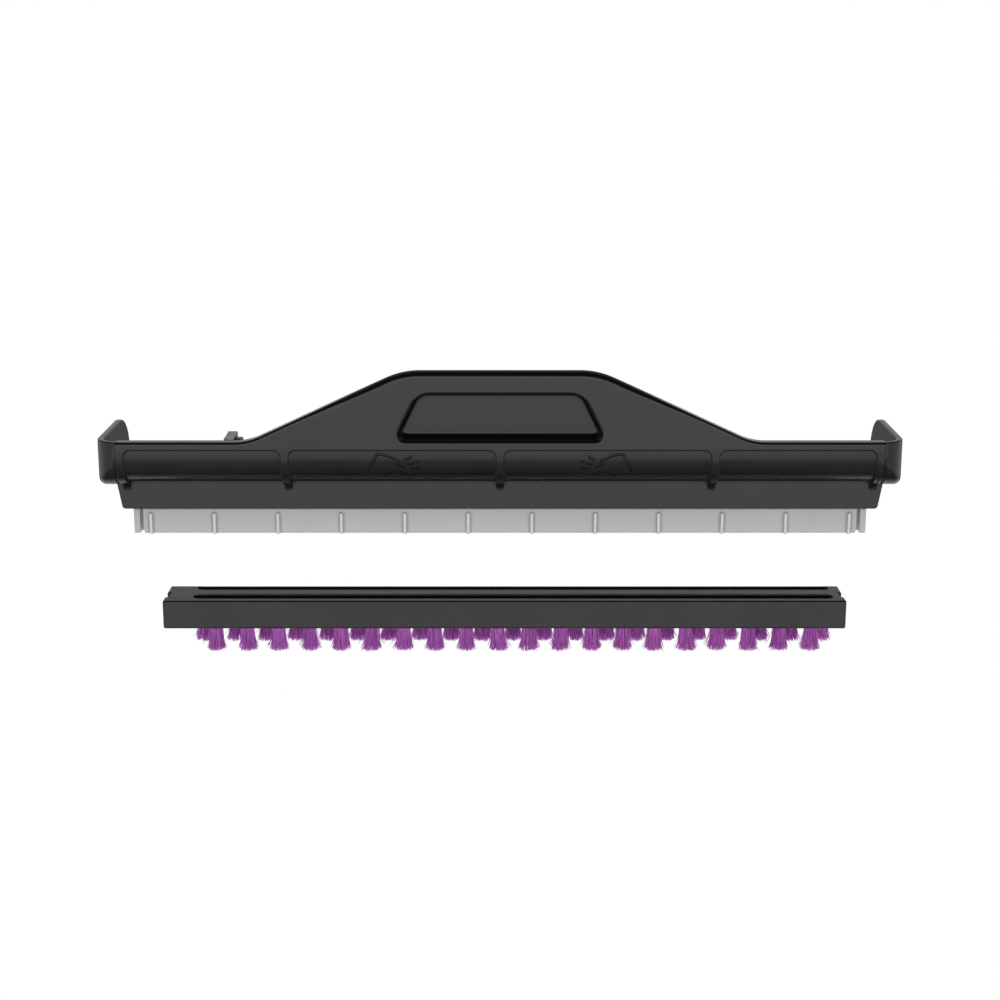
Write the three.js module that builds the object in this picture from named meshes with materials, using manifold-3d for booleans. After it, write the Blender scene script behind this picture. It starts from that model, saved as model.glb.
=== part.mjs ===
// Squeegee and scrub-brush attachment for a wet and dry floor cleaner.
// A moulded frame slides onto the cleaner's nozzle between two side arms. Behind its skirt it clamps a pair
// of rubber squeegee blades. A small spring catch locks on the nozzle. A separate brush strip fits on two
// tongues under the shelf, and rests pulled down, clear of its seat.
//
// Millimetres. X runs along the attachment, Y from its face towards its back, Z up. The design frame has
// Y = 0 on the face and Z = 0 near the top of the skirt. The exported group moves it so that the origin is
// at the middle of the shelf's top face, where the nozzle sits.
import * as THREE from "three";
import { mergeVertices } from "three/addons/utils/BufferGeometryUtils.js";
import Module from "manifold-3d";

const wasm = await Module();
wasm.setup();

// ---- Driving dimensions -------------------------------------------------------------------------------
const GAP = 0.3; // between pieces that touch
const WALL = 2.5; // moulded wall thickness

// Face contour, seen from the front
const FACE_HALF = 157.5;
const SHOULDER_Z = 24;
const PLATEAU_Z = 53.55;
const PLATEAU_HALF = 39.8; // to the corner before rounding
const SLOPE_FOOT_X = 103.3;
const PLATEAU_RADIUS = 33;
const SLOPE_FOOT_RADIUS = 26;
const FLANGE = 1.8; // thickness of the flange that follows the contour
const SHOULDER_FLANGE_Y = 5.4;
const PLATEAU_FLANGE_Y = 4.2;
const NARROW_PAST = 10; // how far past the plateau's corners the flange is narrow

// Curved wall below the face, ribs and skirt
const WINDOW_TOP_Z = 20.85;
const WINDOW_RADIUS = 3.3;
const WINDOW_STEP = 0.6; // how far the curved wall starts behind the face
const CURVE_Y = 13.5; // where the curved wall turns level
const FLOOR_Z = 5; // underside of the curved wall and the shelf
const SKIRT_Y = 15;
const SKIRT_BOTTOM_Z = -7.6;
const SKIRT_TOP_HALF = 160.5;
const SKIRT_BOTTOM_HALF = 158.3;
const SKIRT_RADIUS = 1.3;
const RIB_DEPTH = 13;
const RIB_BOTTOM_Z = 3.6;
const RIB_FOOT_RADIUS = 4; // of the hollow curve that blends a rib's foot into the skirt
const RIB_WIDTH = 3;
const END_RIB_WIDTH = 3.2;
const RIB_X = [-88.3, 0, 88.3];

// Finger pocket
const POCKET_TOP_Z = 44.3;
const POCKET_BOTTOM_Z = 24.1;
const POCKET_TOP_HALF = 33.8;
const POCKET_BOTTOM_HALF = 43.9;
const POCKET_TOP_RADIUS = 8;
const POCKET_BOTTOM_RADIUS = 3.5;
const POCKET_DEPTH = 9;
const POCKET_WALL = 1.8;

// Side arms
const ARM_OUT = 166.3;
const ARM_WALL = 2.6;
const ARM_CORNER_RADIUS = 10.6;
const ARM_CORNER_Y = 10.9; // where the round corner ends and the straight side starts
const ARM_OVERLAP = 1.2; // how far an arm reaches in over the end of the face
const ARM_BOTTOM_Z = 4.2;
const ARM_CURVE_Y = 11.5;
const ARM_FLOOR_BACK_Y = 16; // the arm is closed below as far back as this
const ARM_NOSE_Y = 45.4; // where the top edge starts to round down
const ARM_BACK_Y = 64;
const ARM_TIP_Z = 11.6;
const NOSE_LEAN = 0.8; // how the nose's curve leaves the tip and meets the top edge
const NOSE_RISE = 5;
const NOSE_REACH = 8;
const ARM_SEGMENTS = 8; // sides of the round corner
const BEAD_RADIUS = 1.2;
const BEAD_Y = 56;
const BEAD_TOP_Z = 12;

// Shelf and brush seat
const SHELF_TOP_Z = FLOOR_Z + WALL;
const SHELF_BACK_Y = 52;
const SLOT_COUNT = 10;
const SLOT_PITCH = 26.6;
const SLOT_LENGTH = 18;
const SLOT_FRONT_Y = 19.6;
const SLOT_BACK_Y = 21.8;
const TONGUE_DROP = 3.5;
const TONGUE_PLAY = 0.5; // to each wall of its groove
const TONGUE_END_PLAY = 2; // the grooves' ends are round and the tongues' are square
const SEAT_WALL_Y = 50.2;
const SEAT_WALL_BOTTOM_Z = -2;
const FINGER_BOTTOM_Z = -5;
const FINGER_OUT = 2.4; // how far a locating finger stands out past the strip's end
const FINGER_IN = 1.2; // how far it reaches into the strip's end notch

// Blades and their clamp, front to back
const BLADE = 1.5;
const SPACER = 1.8;
const SPACER_WEB = 0.7;
const REAR_BLADE = 1.3;
const CLAMP = 1.8;
const BLADE_HALF = 154.3;
const BLADE_TIP_Z = -18.8;
const BLADE_TOP_Z = FLOOR_Z - GAP;
const BLADE_SLIT_X = 151.05;
const BLADE_SLIT = 1.3;
const BLADE_SLIT_TOP_Z = -6;
const BLADE_NOTCH_X = 150.1; // inner end of the small notch in each blade's foot
const BLADE_NOTCH = 1.35;
const BLADE_RIB_COUNT = 12;
const BLADE_RIB_PITCH = 26.75;
const BLADE_RIB_WIDTH = 1.25;
const BLADE_RIB_OUT = 1.2;
const BLADE_RIB_TOP_Z = -9.9;
const BLADE_RIB_TIP_Z = -19.2;
const CLAMP_HALF = 148;
const CLAMP_BOTTOM_Z = -6.2;
const SCREW_COUNT = 6;
const SCREW_PITCH = 53.2;
const SCREW_Z = -0.8;
const SCREW_RADIUS = 1.2;
const SCREW_HEAD_RADIUS = 2.5;
const SCREW_HEAD = 1.3;
const SCREW_BITE = 1.5; // how deep a screw reaches into the skirt

const FRONT_BLADE_Y = SKIRT_Y + WALL + GAP;
const SPACER_Y = FRONT_BLADE_Y + BLADE + GAP;
const REAR_BLADE_Y = SPACER_Y + SPACER + GAP;
const CLAMP_Y = REAR_BLADE_Y + REAR_BLADE + GAP;
const CLAMP_BACK_Y = CLAMP_Y + CLAMP;

// Brush strip
const STRIP_LEFT_X = -145.6;
const STRIP_RIGHT_X = 149.5;
const STRIP_FRONT_Y = 26.3;
const STRIP_BACK_Y = 49.5;
const STRIP_TOP_Z = -51.5;
const STRIP_BOTTOM_Z = -64;
const GROOVE_LEFT_X = -133.3;
const GROOVE_RIGHT_X = 144.7;
const GROOVES_Y = [
  [30.3, 36.3],
  [43.6, 48.8],
];
const GROOVE_DEPTH = 5;
const GROOVE_FLAT = 0.01; // keeps the round ends just short of meeting
const NOTCH_FRONT_Y = 32.6;
const NOTCH_BACK_Y = 39.3;
const NOTCH_DEEP = 1.8;
const TUFT_PITCH = 13.6;
const REAR_TUFTS = 21;
const FRONT_TUFTS = 20;
const PATTERN_X = 5.8; // middle of the tufts, off the strip's own middle
const FRONT_TUFT_Y = 30.6;
const REAR_TUFT_Y = 44.6;
const TUFT_TIP_Z = -74.8;
const TUFT_ROOT = 4; // how deep a tuft sits in its hole
const TUFT_ROOT_RADIUS = 3;
const TUFT_NECK_RADIUS = 3.1;
const TUFT_TIP_RADIUS = 3.9;
const TUFT_TIP_ROUND = 1.5;
const TUFT_END_PART = 0.7; // flat end, as a part of the tip's radius
const TUFT_STRAIGHT = 2; // how far below the strip a tuft starts to spread
const TUFT_SIDES = 8;

// Catch
const CATCH_LEFT_X = -113.8;
const CATCH_WIDTH = 4.1;
const CATCH_FRONT_Y = 7;
const CATCH_BACK_Y = 21;
const CATCH_TOP_Z = 24.4;
const CATCH_PLATE = 2;
const CATCH_HOOK_Z = 15.5;
const CATCH_HOOK = 2.4; // thickness of the hook
const CATCH_HOOK_FOOT = 1;
const CATCH_HOOK_BEVEL = 2.5;
const CATCH_ROUND = 0.6;
const PIVOT_Y = 14;
const PIVOT_Z = 20;
const HUB_RADIUS = 3;
const PIN_RADIUS = 1.2;
const LEFT_LUG_WIDTH = 3.4;
const RIGHT_LUG_WIDTH = 2.3;
const LUG_GAP = 0.6; // between the lever and each lug
const LUG_END = 1; // closed end of each pin hole
const LUG_FRONT = 3; // how far the lug's foot stands out in front of its round top
const LUG_BACK = 1;
const LUG_SINK = 0.5; // how far the lugs reach into the shelf
const LEFT_LUG_TOP_Z = 21.9;
const LEFT_LUG_RADIUS = 2.5;
const RIGHT_LUG_TOP_Z = 23.6;
const SPRING_Y = 9.3;
const SPRING_RADIUS = 1.5;
const SPRING_WIRE = 0.3;
const SPRING_TURNS = 5;
const SPRING_STEPS = 10; // sides of one turn
const SPRING_PEG = 0.8;
const SPRING_PEG_HEIGHT = 2;
const SPRING_SEAT_Z = 11.5;
const SPRING_MARGIN = 1; // of the seat in front of the spring
const SEAT_BACK = 2; // from the seat to the lever's pivot

const ORIGIN = new THREE.Vector3(0, (SKIRT_Y + SHELF_BACK_Y) / 2, SHELF_TOP_Z);

// ---- Shapes -------------------------------------------------------------------------------------------

// A manifold solid from a closed three.js geometry.
function solidOf(geometry) {
  const bare = new THREE.BufferGeometry();
  bare.setAttribute("position", geometry.getAttribute("position"));
  if (geometry.index) bare.setIndex(geometry.index);
  const merged = mergeVertices(bare, 1e-4);
  const vertProperties = new Float32Array(merged.attributes.position.array);
  const triVerts = new Uint32Array(merged.index.array);
  return new wasm.Manifold(new wasm.Mesh({ numProp: 3, vertProperties, triVerts }));
}

// A three.js geometry from a manifold solid.
function geometryOf(solid) {
  const mesh = solid.getMesh();
  const geometry = new THREE.BufferGeometry();
  geometry.setAttribute("position", new THREE.BufferAttribute(new Float32Array(mesh.vertProperties), 3));
  geometry.setIndex(new THREE.BufferAttribute(new Uint32Array(mesh.triVerts), 1));
  return geometry;
}

const AXES = {
  x: [new THREE.Vector3(0, 1, 0), new THREE.Vector3(0, 0, 1), new THREE.Vector3(1, 0, 0)],
  y: [new THREE.Vector3(1, 0, 0), new THREE.Vector3(0, 0, 1), new THREE.Vector3(0, -1, 0)],
  z: [new THREE.Vector3(1, 0, 0), new THREE.Vector3(0, 1, 0), new THREE.Vector3(0, 0, 1)],
};

// A shape drawn across an axis and extruded along it from one place to another.
// Across x the shape is (y, z), across y it is (x, z) and across z it is (x, y).
function extruded(shape, axis, from, to, curveSegments = 6) {
  const geometry = new THREE.ExtrudeGeometry(shape, { depth: to - from, bevelEnabled: false, curveSegments });
  geometry.translate(0, 0, axis === "y" ? -to : from);
  geometry.applyMatrix4(new THREE.Matrix4().makeBasis(...AXES[axis]));
  return solidOf(geometry);
}

function box([x0, x1], [y0, y1], [z0, z1]) {
  const geometry = new THREE.BoxGeometry(x1 - x0, y1 - y0, z1 - z0);
  geometry.translate((x0 + x1) / 2, (y0 + y1) / 2, (z0 + z1) / 2);
  return solidOf(geometry);
}

// A cylinder along an axis, centred at (u, v) of the plane across it.
function rod(axis, radius, from, to, u, v, segments = 8) {
  const circle = new THREE.Shape();
  circle.absarc(u, v, radius, 0, 2 * Math.PI, false);
  return extruded(circle, axis, from, to, segments);
}

const joined = (solids) => solids.reduce((whole, piece) => whole.add(piece));
const cutBy = (solid, cutters) => cutters.reduce((rest, cutter) => rest.subtract(cutter), solid);
const evenly = (count, pitch) => Array.from({ length: count }, (_, i) => (i - (count - 1) / 2) * pitch);

// A closed outline from corners [u, v, radius], anticlockwise. A corner with no radius stays sharp.
function outline(corners) {
  const shape = new THREE.Shape();
  corners.forEach(([u, v, radius = 0], i) => {
    const here = new THREE.Vector2(u, v);
    const back = new THREE.Vector2(...corners.at(i - 1)).sub(here).normalize();
    const ahead = new THREE.Vector2(...corners[(i + 1) % corners.length]).sub(here).normalize();
    const half = Math.acos(THREE.MathUtils.clamp(back.dot(ahead), -1, 1)) / 2;
    const reach = radius / Math.tan(half);
    const start = here.clone().addScaledVector(back, reach);
    if (i === 0) shape.moveTo(start.x, start.y);
    else shape.lineTo(start.x, start.y);
    if (!radius) return;
    const end = here.clone().addScaledVector(ahead, reach);
    const toCentre = back.clone().add(ahead).normalize().multiplyScalar(radius / Math.sin(half));
    const centre = here.clone().add(toCentre);
    const startAngle = Math.atan2(start.y - centre.y, start.x - centre.x);
    const endAngle = Math.atan2(end.y - centre.y, end.x - centre.x);
    shape.absarc(centre.x, centre.y, radius, startAngle, endAngle, back.cross(ahead) > 0);
  });
  shape.closePath();
  return shape;
}

// ---- Frame --------------------------------------------------------------------------------------------

// The face's top contour from right to left, lowered by a margin.
function contour(margin) {
  const rise = (PLATEAU_Z - SHOULDER_Z) / (SLOPE_FOOT_X - PLATEAU_HALF);
  const shift = (margin * (Math.hypot(1, rise) - 1)) / rise;
  const foot = SLOPE_FOOT_X - shift;
  const plateau = PLATEAU_HALF - shift;
  return [
    [FACE_HALF, SHOULDER_Z - margin],
    [foot, SHOULDER_Z - margin, SLOPE_FOOT_RADIUS + margin],
    [plateau, PLATEAU_Z - margin, PLATEAU_RADIUS - margin],
    [-plateau, PLATEAU_Z - margin, PLATEAU_RADIUS - margin],
    [-foot, SHOULDER_Z - margin, SLOPE_FOOT_RADIUS + margin],
    [-FACE_HALF, SHOULDER_Z - margin],
  ];
}

const faceOutline = (bottom, margin = 0) =>
  outline([[-FACE_HALF, bottom], [FACE_HALF, bottom], ...contour(margin)]);

// The pocket's outline, grown by a margin on every side.
function pocketOutline(margin) {
  const lean = (POCKET_BOTTOM_HALF - POCKET_TOP_HALF) / (POCKET_TOP_Z - POCKET_BOTTOM_Z);
  const side = margin * Math.hypot(1, lean);
  const bottom = POCKET_BOTTOM_HALF + side + margin * lean;
  const top = POCKET_TOP_HALF + side - margin * lean;
  return outline([
    [-bottom, POCKET_BOTTOM_Z - margin, POCKET_BOTTOM_RADIUS + margin],
    [bottom, POCKET_BOTTOM_Z - margin, POCKET_BOTTOM_RADIUS + margin],
    [top, POCKET_TOP_Z + margin, POCKET_TOP_RADIUS + margin],
    [-top, POCKET_TOP_Z + margin, POCKET_TOP_RADIUS + margin],
  ]);
}

// The flat face with the flange that stiffens its top edge and the cup of the finger pocket behind it.
function face() {
  const plate = extruded(faceOutline(WINDOW_TOP_Z), "y", 0, WALL);
  const band = extruded(faceOutline(WINDOW_TOP_Z - WALL), "y", 0, SHOULDER_FLANGE_Y);
  const under = extruded(faceOutline(WINDOW_TOP_Z - 2 * WALL, FLANGE), "y", -1, SHOULDER_FLANGE_Y + 1);
  const behindPlateau = box(
    [-PLATEAU_HALF - NARROW_PAST, PLATEAU_HALF + NARROW_PAST],
    [PLATEAU_FLANGE_Y, SHOULDER_FLANGE_Y + 1],
    [POCKET_TOP_Z, PLATEAU_Z + 1],
  );
  const cup = extruded(pocketOutline(POCKET_WALL), "y", WALL / 2, POCKET_DEPTH + POCKET_WALL);
  const pocket = extruded(pocketOutline(0), "y", -1, POCKET_DEPTH);
  return joined([plate, cutBy(band, [under, behindPlateau]), cup]).subtract(pocket);
}

// A quarter ellipse, bulging down and forwards, from a level start to its lowest point.
function addQuarter(shape, backY, depth, drop, falling) {
  const angles = falling ? [Math.PI, 1.5 * Math.PI] : [1.5 * Math.PI, Math.PI];
  shape.absellipse(backY, WINDOW_TOP_Z, depth, drop, ...angles, !falling);
}

// The wall that curves from the face down to the shelf.
function curvedWall() {
  const drop = WINDOW_TOP_Z - FLOOR_Z;
  const top = WINDOW_TOP_Z + 1;
  const shape = new THREE.Shape();
  shape.moveTo(WINDOW_STEP, top);
  shape.lineTo(WINDOW_STEP, WINDOW_TOP_Z);
  addQuarter(shape, CURVE_Y, CURVE_Y - WINDOW_STEP, drop, true);
  shape.lineTo(SKIRT_Y + WALL, FLOOR_Z);
  shape.lineTo(SKIRT_Y + WALL, SHELF_TOP_Z);
  shape.lineTo(CURVE_Y, SHELF_TOP_Z);
  addQuarter(shape, CURVE_Y, CURVE_Y - WINDOW_STEP - WALL, drop - WALL, false);
  shape.lineTo(WINDOW_STEP + WALL, top);
  shape.closePath();
  return extruded(shape, "x", -FACE_HALF, FACE_HALF, 10);
}

// One rib: its edge continues the face, curves under and ends in a hollow foot on the skirt.
function rib(x, width) {
  const footY = SKIRT_Y - RIB_FOOT_RADIUS;
  const footZ = RIB_BOTTOM_Z - RIB_FOOT_RADIUS;
  const end = 1.5 * Math.PI - Math.asin((RIB_DEPTH - footY) / RIB_DEPTH);
  const shape = new THREE.Shape();
  shape.moveTo(0, WINDOW_TOP_Z + 1);
  shape.lineTo(0, WINDOW_TOP_Z);
  shape.absellipse(RIB_DEPTH, WINDOW_TOP_Z, RIB_DEPTH, WINDOW_TOP_Z - RIB_BOTTOM_Z, Math.PI, end, false);
  shape.absarc(footY, footZ, RIB_FOOT_RADIUS, Math.PI / 2, 0, true);
  shape.lineTo(SKIRT_Y + WALL / 2, footZ);
  shape.lineTo(SKIRT_Y + WALL / 2, FLOOR_Z + WALL / 2);
  shape.lineTo(CURVE_Y, FLOOR_Z + WALL / 2);
  addQuarter(shape, CURVE_Y, CURVE_Y - WINDOW_STEP - WALL / 2, WINDOW_TOP_Z - FLOOR_Z - WALL / 2, false);
  shape.lineTo(WINDOW_STEP + WALL / 2, WINDOW_TOP_Z + 1);
  shape.closePath();
  return extruded(shape, "x", x - width / 2, x + width / 2, 8);
}

// The ribs, and the round top corners of the windows between them.
function ribs() {
  const endX = FACE_HALF - END_RIB_WIDTH / 2;
  const middle = RIB_X.map((x) => rib(x, RIB_WIDTH));
  const ends = [-endX, endX].map((x) => rib(x, END_RIB_WIDTH));
  const edges = [-FACE_HALF + END_RIB_WIDTH, FACE_HALF - END_RIB_WIDTH];
  edges.push(...RIB_X.flatMap((x) => [x - RIB_WIDTH / 2, x + RIB_WIDTH / 2]));
  edges.sort((a, b) => a - b);
  const corners = [];
  for (let i = 0; i < edges.length; i += 2) {
    const [left, right] = [edges[i], edges[i + 1]];
    const bottom = WINDOW_TOP_Z - 2 * WINDOW_RADIUS;
    const strip = box([left, right], [0, WALL], [WINDOW_TOP_Z - WINDOW_RADIUS, WINDOW_TOP_Z + 1]);
    const opening = outline([
      [left, bottom],
      [right, bottom],
      [right, WINDOW_TOP_Z, WINDOW_RADIUS],
      [left, WINDOW_TOP_Z, WINDOW_RADIUS],
    ]);
    corners.push(strip.subtract(extruded(opening, "y", -1, WALL + 1)));
  }
  return joined([...middle, ...ends, ...corners]);
}

function skirt() {
  const shape = outline([
    [-SKIRT_BOTTOM_HALF, SKIRT_BOTTOM_Z, SKIRT_RADIUS],
    [SKIRT_BOTTOM_HALF, SKIRT_BOTTOM_Z, SKIRT_RADIUS],
    [SKIRT_TOP_HALF, FLOOR_Z],
    [SKIRT_TOP_HALF, FLOOR_Z + WALL / 2],
    [-SKIRT_TOP_HALF, FLOOR_Z + WALL / 2],
    [-SKIRT_TOP_HALF, FLOOR_Z],
  ]);
  return extruded(shape, "y", SKIRT_Y, SKIRT_Y + WALL);
}

// One arm's plan, as far in as the end of the face, shrunk by a margin.
function armPlan(side, margin) {
  const out = ARM_OUT - margin;
  const near = FACE_HALF - ARM_OVERLAP;
  const middle = ARM_OUT - ARM_CORNER_RADIUS;
  const radius = ARM_CORNER_RADIUS - margin;
  const start = -Math.acos((near - middle) / radius);
  const arc = new THREE.Shape().absarc(middle, ARM_CORNER_Y, radius, start, 0, false);
  const corner = arc.getPoints(ARM_SEGMENTS);
  const back = ARM_BACK_Y + (margin ? 1 : 0);
  const points = [new THREE.Vector2(near, back), ...corner, new THREE.Vector2(out, back)];
  return new THREE.Shape(points.map(({ x, y }) => new THREE.Vector2(side * x, y)));
}

// The arms seen from the side, from the round lower corner to the rounded nose.
function armSide() {
  const shape = new THREE.Shape();
  shape.moveTo(0, SHOULDER_Z);
  shape.lineTo(0, WINDOW_TOP_Z);
  addQuarter(shape, ARM_CURVE_Y, ARM_CURVE_Y, WINDOW_TOP_Z - ARM_BOTTOM_Z, true);
  shape.lineTo(ARM_BACK_Y, ARM_BOTTOM_Z);
  shape.lineTo(ARM_BACK_Y, ARM_TIP_Z);
  shape.bezierCurveTo(
    ARM_BACK_Y - NOSE_LEAN,
    ARM_TIP_Z + NOSE_RISE,
    ARM_NOSE_Y + NOSE_REACH,
    SHOULDER_Z,
    ARM_NOSE_Y,
    SHOULDER_Z,
  );
  shape.closePath();
  return shape;
}

// The hollow of the arms, seen from the side. Only the front part has a floor.
function armHollow() {
  const shape = new THREE.Shape();
  const drop = WINDOW_TOP_Z - ARM_BOTTOM_Z - ARM_WALL;
  shape.moveTo(ARM_WALL, SHOULDER_Z + 1);
  shape.lineTo(ARM_WALL, WINDOW_TOP_Z);
  addQuarter(shape, ARM_CURVE_Y, ARM_CURVE_Y - ARM_WALL, drop, true);
  shape.lineTo(ARM_FLOOR_BACK_Y, ARM_BOTTOM_Z + ARM_WALL);
  shape.lineTo(ARM_FLOOR_BACK_Y, ARM_BOTTOM_Z - 1);
  shape.lineTo(ARM_BACK_Y + 1, ARM_BOTTOM_Z - 1);
  shape.lineTo(ARM_BACK_Y + 1, SHOULDER_Z + 1);
  shape.closePath();
  return shape;
}

function arms() {
  return joined(
    [-1, 1].map((side) => {
      const across = [0, side * (ARM_OUT + 1)].sort((a, b) => a - b);
      const profile = extruded(armSide(), "x", ...across, 8);
      const blank = extruded(armPlan(side, 0), "z", ARM_BOTTOM_Z - 1, SHOULDER_Z).intersect(profile);
      const inside = extruded(armPlan(side, ARM_WALL), "z", ARM_BOTTOM_Z - 2, SHOULDER_Z + 1);
      const hollow = inside.intersect(extruded(armHollow(), "x", ...across, 8));
      const beadX = side * (ARM_OUT - ARM_WALL);
      const bead = rod("z", BEAD_RADIUS, ARM_BOTTOM_Z, BEAD_TOP_Z, beadX, BEAD_Y);
      return blank.subtract(hollow).add(bead.intersect(profile));
    }),
  );
}

const slotAcross = (x) => [x - SLOT_LENGTH / 2, x + SLOT_LENGTH / 2];
const tuftRow = (count) => evenly(count, TUFT_PITCH).map((x) => x + PATTERN_X);

// The shelf that the nozzle sits on, with its suction slots and, below, the seat of the brush strip.
function shelf() {
  const inner = ARM_OUT - ARM_WALL / 2;
  const plate = box([-inner, inner], [CURVE_Y, SHELF_BACK_Y], [FLOOR_Z, SHELF_TOP_Z]);
  const slots = evenly(SLOT_COUNT, SLOT_PITCH).map((x) =>
    box(slotAcross(x), [SLOT_FRONT_Y, SLOT_BACK_Y], [FLOOR_Z - 1, SHELF_TOP_Z + 1]),
  );
  const tongues = GROOVES_Y.map(([front, back]) =>
    box(
      [GROOVE_LEFT_X + TONGUE_END_PLAY, GROOVE_RIGHT_X - TONGUE_END_PLAY],
      [front + TONGUE_PLAY, back - TONGUE_PLAY],
      [FLOOR_Z - TONGUE_DROP, FLOOR_Z + 1],
    ),
  );
  const seatAcross = [STRIP_LEFT_X, STRIP_RIGHT_X];
  const seatWall = box(seatAcross, [SEAT_WALL_Y, SHELF_BACK_Y], [SEAT_WALL_BOTTOM_Z, FLOOR_Z + 1]);
  const notch = [NOTCH_FRONT_Y + TONGUE_PLAY, NOTCH_BACK_Y - TONGUE_PLAY];
  const fingers = [
    [STRIP_LEFT_X - FINGER_OUT, STRIP_LEFT_X + FINGER_IN],
    [STRIP_RIGHT_X - FINGER_IN, STRIP_RIGHT_X + FINGER_OUT],
  ].map((across) => box(across, notch, [FINGER_BOTTOM_Z, FLOOR_Z + 1]));
  return joined([cutBy(plate, slots), ...tongues, seatWall, ...fingers]);
}

const leverRight = CATCH_LEFT_X + CATCH_WIDTH;
const leverMiddle = CATCH_LEFT_X + CATCH_WIDTH / 2;
const leftLug = [CATCH_LEFT_X - LUG_GAP - LEFT_LUG_WIDTH, CATCH_LEFT_X - LUG_GAP];
const rightLug = [leverRight + LUG_GAP, leverRight + LUG_GAP + RIGHT_LUG_WIDTH];

// The two lugs that hold the catch's pin, and the peg that keeps its spring in place.
function catchLugs() {
  const side = (top, radius) =>
    outline([
      [PIVOT_Y - radius - LUG_FRONT, SHELF_TOP_Z - LUG_SINK],
      [PIVOT_Y + radius + LUG_BACK, SHELF_TOP_Z - LUG_SINK],
      [PIVOT_Y + radius, top, radius],
      [PIVOT_Y - radius - LUG_FRONT / 2, top, LUG_BACK],
    ]);
  const left = extruded(side(LEFT_LUG_TOP_Z, LEFT_LUG_RADIUS), "x", ...leftLug);
  const right = extruded(side(RIGHT_LUG_TOP_Z, HUB_RADIUS), "x", ...rightLug);
  const seatFront = SPRING_Y - SPRING_RADIUS - SPRING_MARGIN;
  const seatAcross = [leftLug[1] - 1, rightLug[0] + 1];
  const seat = box(seatAcross, [seatFront, PIVOT_Y - SEAT_BACK], [SHELF_TOP_Z, SPRING_SEAT_Z]);
  const pegTop = SPRING_SEAT_Z + SPRING_PEG_HEIGHT;
  const peg = rod("z", SPRING_PEG, SPRING_SEAT_Z - 1, pegTop, leverMiddle, SPRING_Y);
  const hole = rod("x", PIN_RADIUS + GAP, leftLug[0] + LUG_END, rightLug[1] - LUG_END, PIVOT_Y, PIVOT_Z);
  return joined([left, right, seat, peg]).subtract(hole);
}

function frameShell() {
  const screwHoles = evenly(SCREW_COUNT, SCREW_PITCH).map((x) =>
    rod("y", SCREW_RADIUS + GAP, SKIRT_Y + WALL - SCREW_BITE - GAP, SKIRT_Y + WALL + 1, x, SCREW_Z, 6),
  );
  const whole = joined([face(), curvedWall(), ribs(), skirt(), arms(), shelf(), catchLugs()]);
  return cutBy(whole, screwHoles);
}

// ---- Squeegee -----------------------------------------------------------------------------------------

const bladeSlits = () =>
  [-BLADE_SLIT_X, BLADE_SLIT_X].map((x) =>
    box([x - BLADE_SLIT / 2, x + BLADE_SLIT / 2], [0, CLAMP_BACK_Y], [BLADE_TIP_Z - 1, BLADE_SLIT_TOP_Z]),
  );

// The small three-cornered notches in the foot of both blades.
const bladeNotches = () =>
  [-1, 1].map((side) => {
    const corners = [
      [BLADE_NOTCH_X, BLADE_TIP_Z - 1],
      [BLADE_NOTCH_X + BLADE_NOTCH + 1, BLADE_TIP_Z - 1],
      [BLADE_NOTCH_X, BLADE_TIP_Z + BLADE_NOTCH],
    ];
    const shape = new THREE.Shape(corners.map(([x, z]) => new THREE.Vector2(side * x, z)));
    return extruded(shape, "y", 0, CLAMP_BACK_Y);
  });

const screwClearance = (front, back) =>
  evenly(SCREW_COUNT, SCREW_PITCH).map((x) =>
    rod("y", SCREW_RADIUS + GAP, front - 1, back + 1, x, SCREW_Z, 6),
  );

// The front blade: soft, with short ribs that let water in under its edge.
function frontSqueegee() {
  const back = FRONT_BLADE_Y + BLADE;
  const blade = box([-BLADE_HALF, BLADE_HALF], [FRONT_BLADE_Y, back], [BLADE_TIP_Z, BLADE_TOP_Z]);
  const bladeRibs = evenly(BLADE_RIB_COUNT, BLADE_RIB_PITCH).map((x) =>
    box(
      [x - BLADE_RIB_WIDTH / 2, x + BLADE_RIB_WIDTH / 2],
      [FRONT_BLADE_Y - BLADE_RIB_OUT, back - BLADE / 2],
      [BLADE_RIB_TIP_Z, BLADE_RIB_TOP_Z],
    ),
  );
  const cutters = [...bladeSlits(), ...bladeNotches(), ...screwClearance(FRONT_BLADE_Y, back)];
  return cutBy(joined([blade, ...bladeRibs]), cutters);
}

function rearSqueegee() {
  const back = REAR_BLADE_Y + REAR_BLADE;
  const blade = box([-BLADE_HALF, BLADE_HALF], [REAR_BLADE_Y, back], [BLADE_TIP_Z, BLADE_TOP_Z]);
  return cutBy(blade, [...bladeNotches(), ...screwClearance(REAR_BLADE_Y, back)]);
}

// The spacer between the blades. Its channels carry water up to the suction slots.
function squeegeeSpacer() {
  const back = SPACER_Y + SPACER;
  const plate = box([-CLAMP_HALF, CLAMP_HALF], [SPACER_Y, back], [CLAMP_BOTTOM_Z, BLADE_TOP_Z]);
  const channels = evenly(SLOT_COUNT, SLOT_PITCH).map((x) =>
    box(slotAcross(x), [SPACER_Y + SPACER_WEB, back + 1], [CLAMP_BOTTOM_Z - 1, FLOOR_Z]),
  );
  return cutBy(plate, [...channels, ...screwClearance(SPACER_Y, back)]);
}

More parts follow.
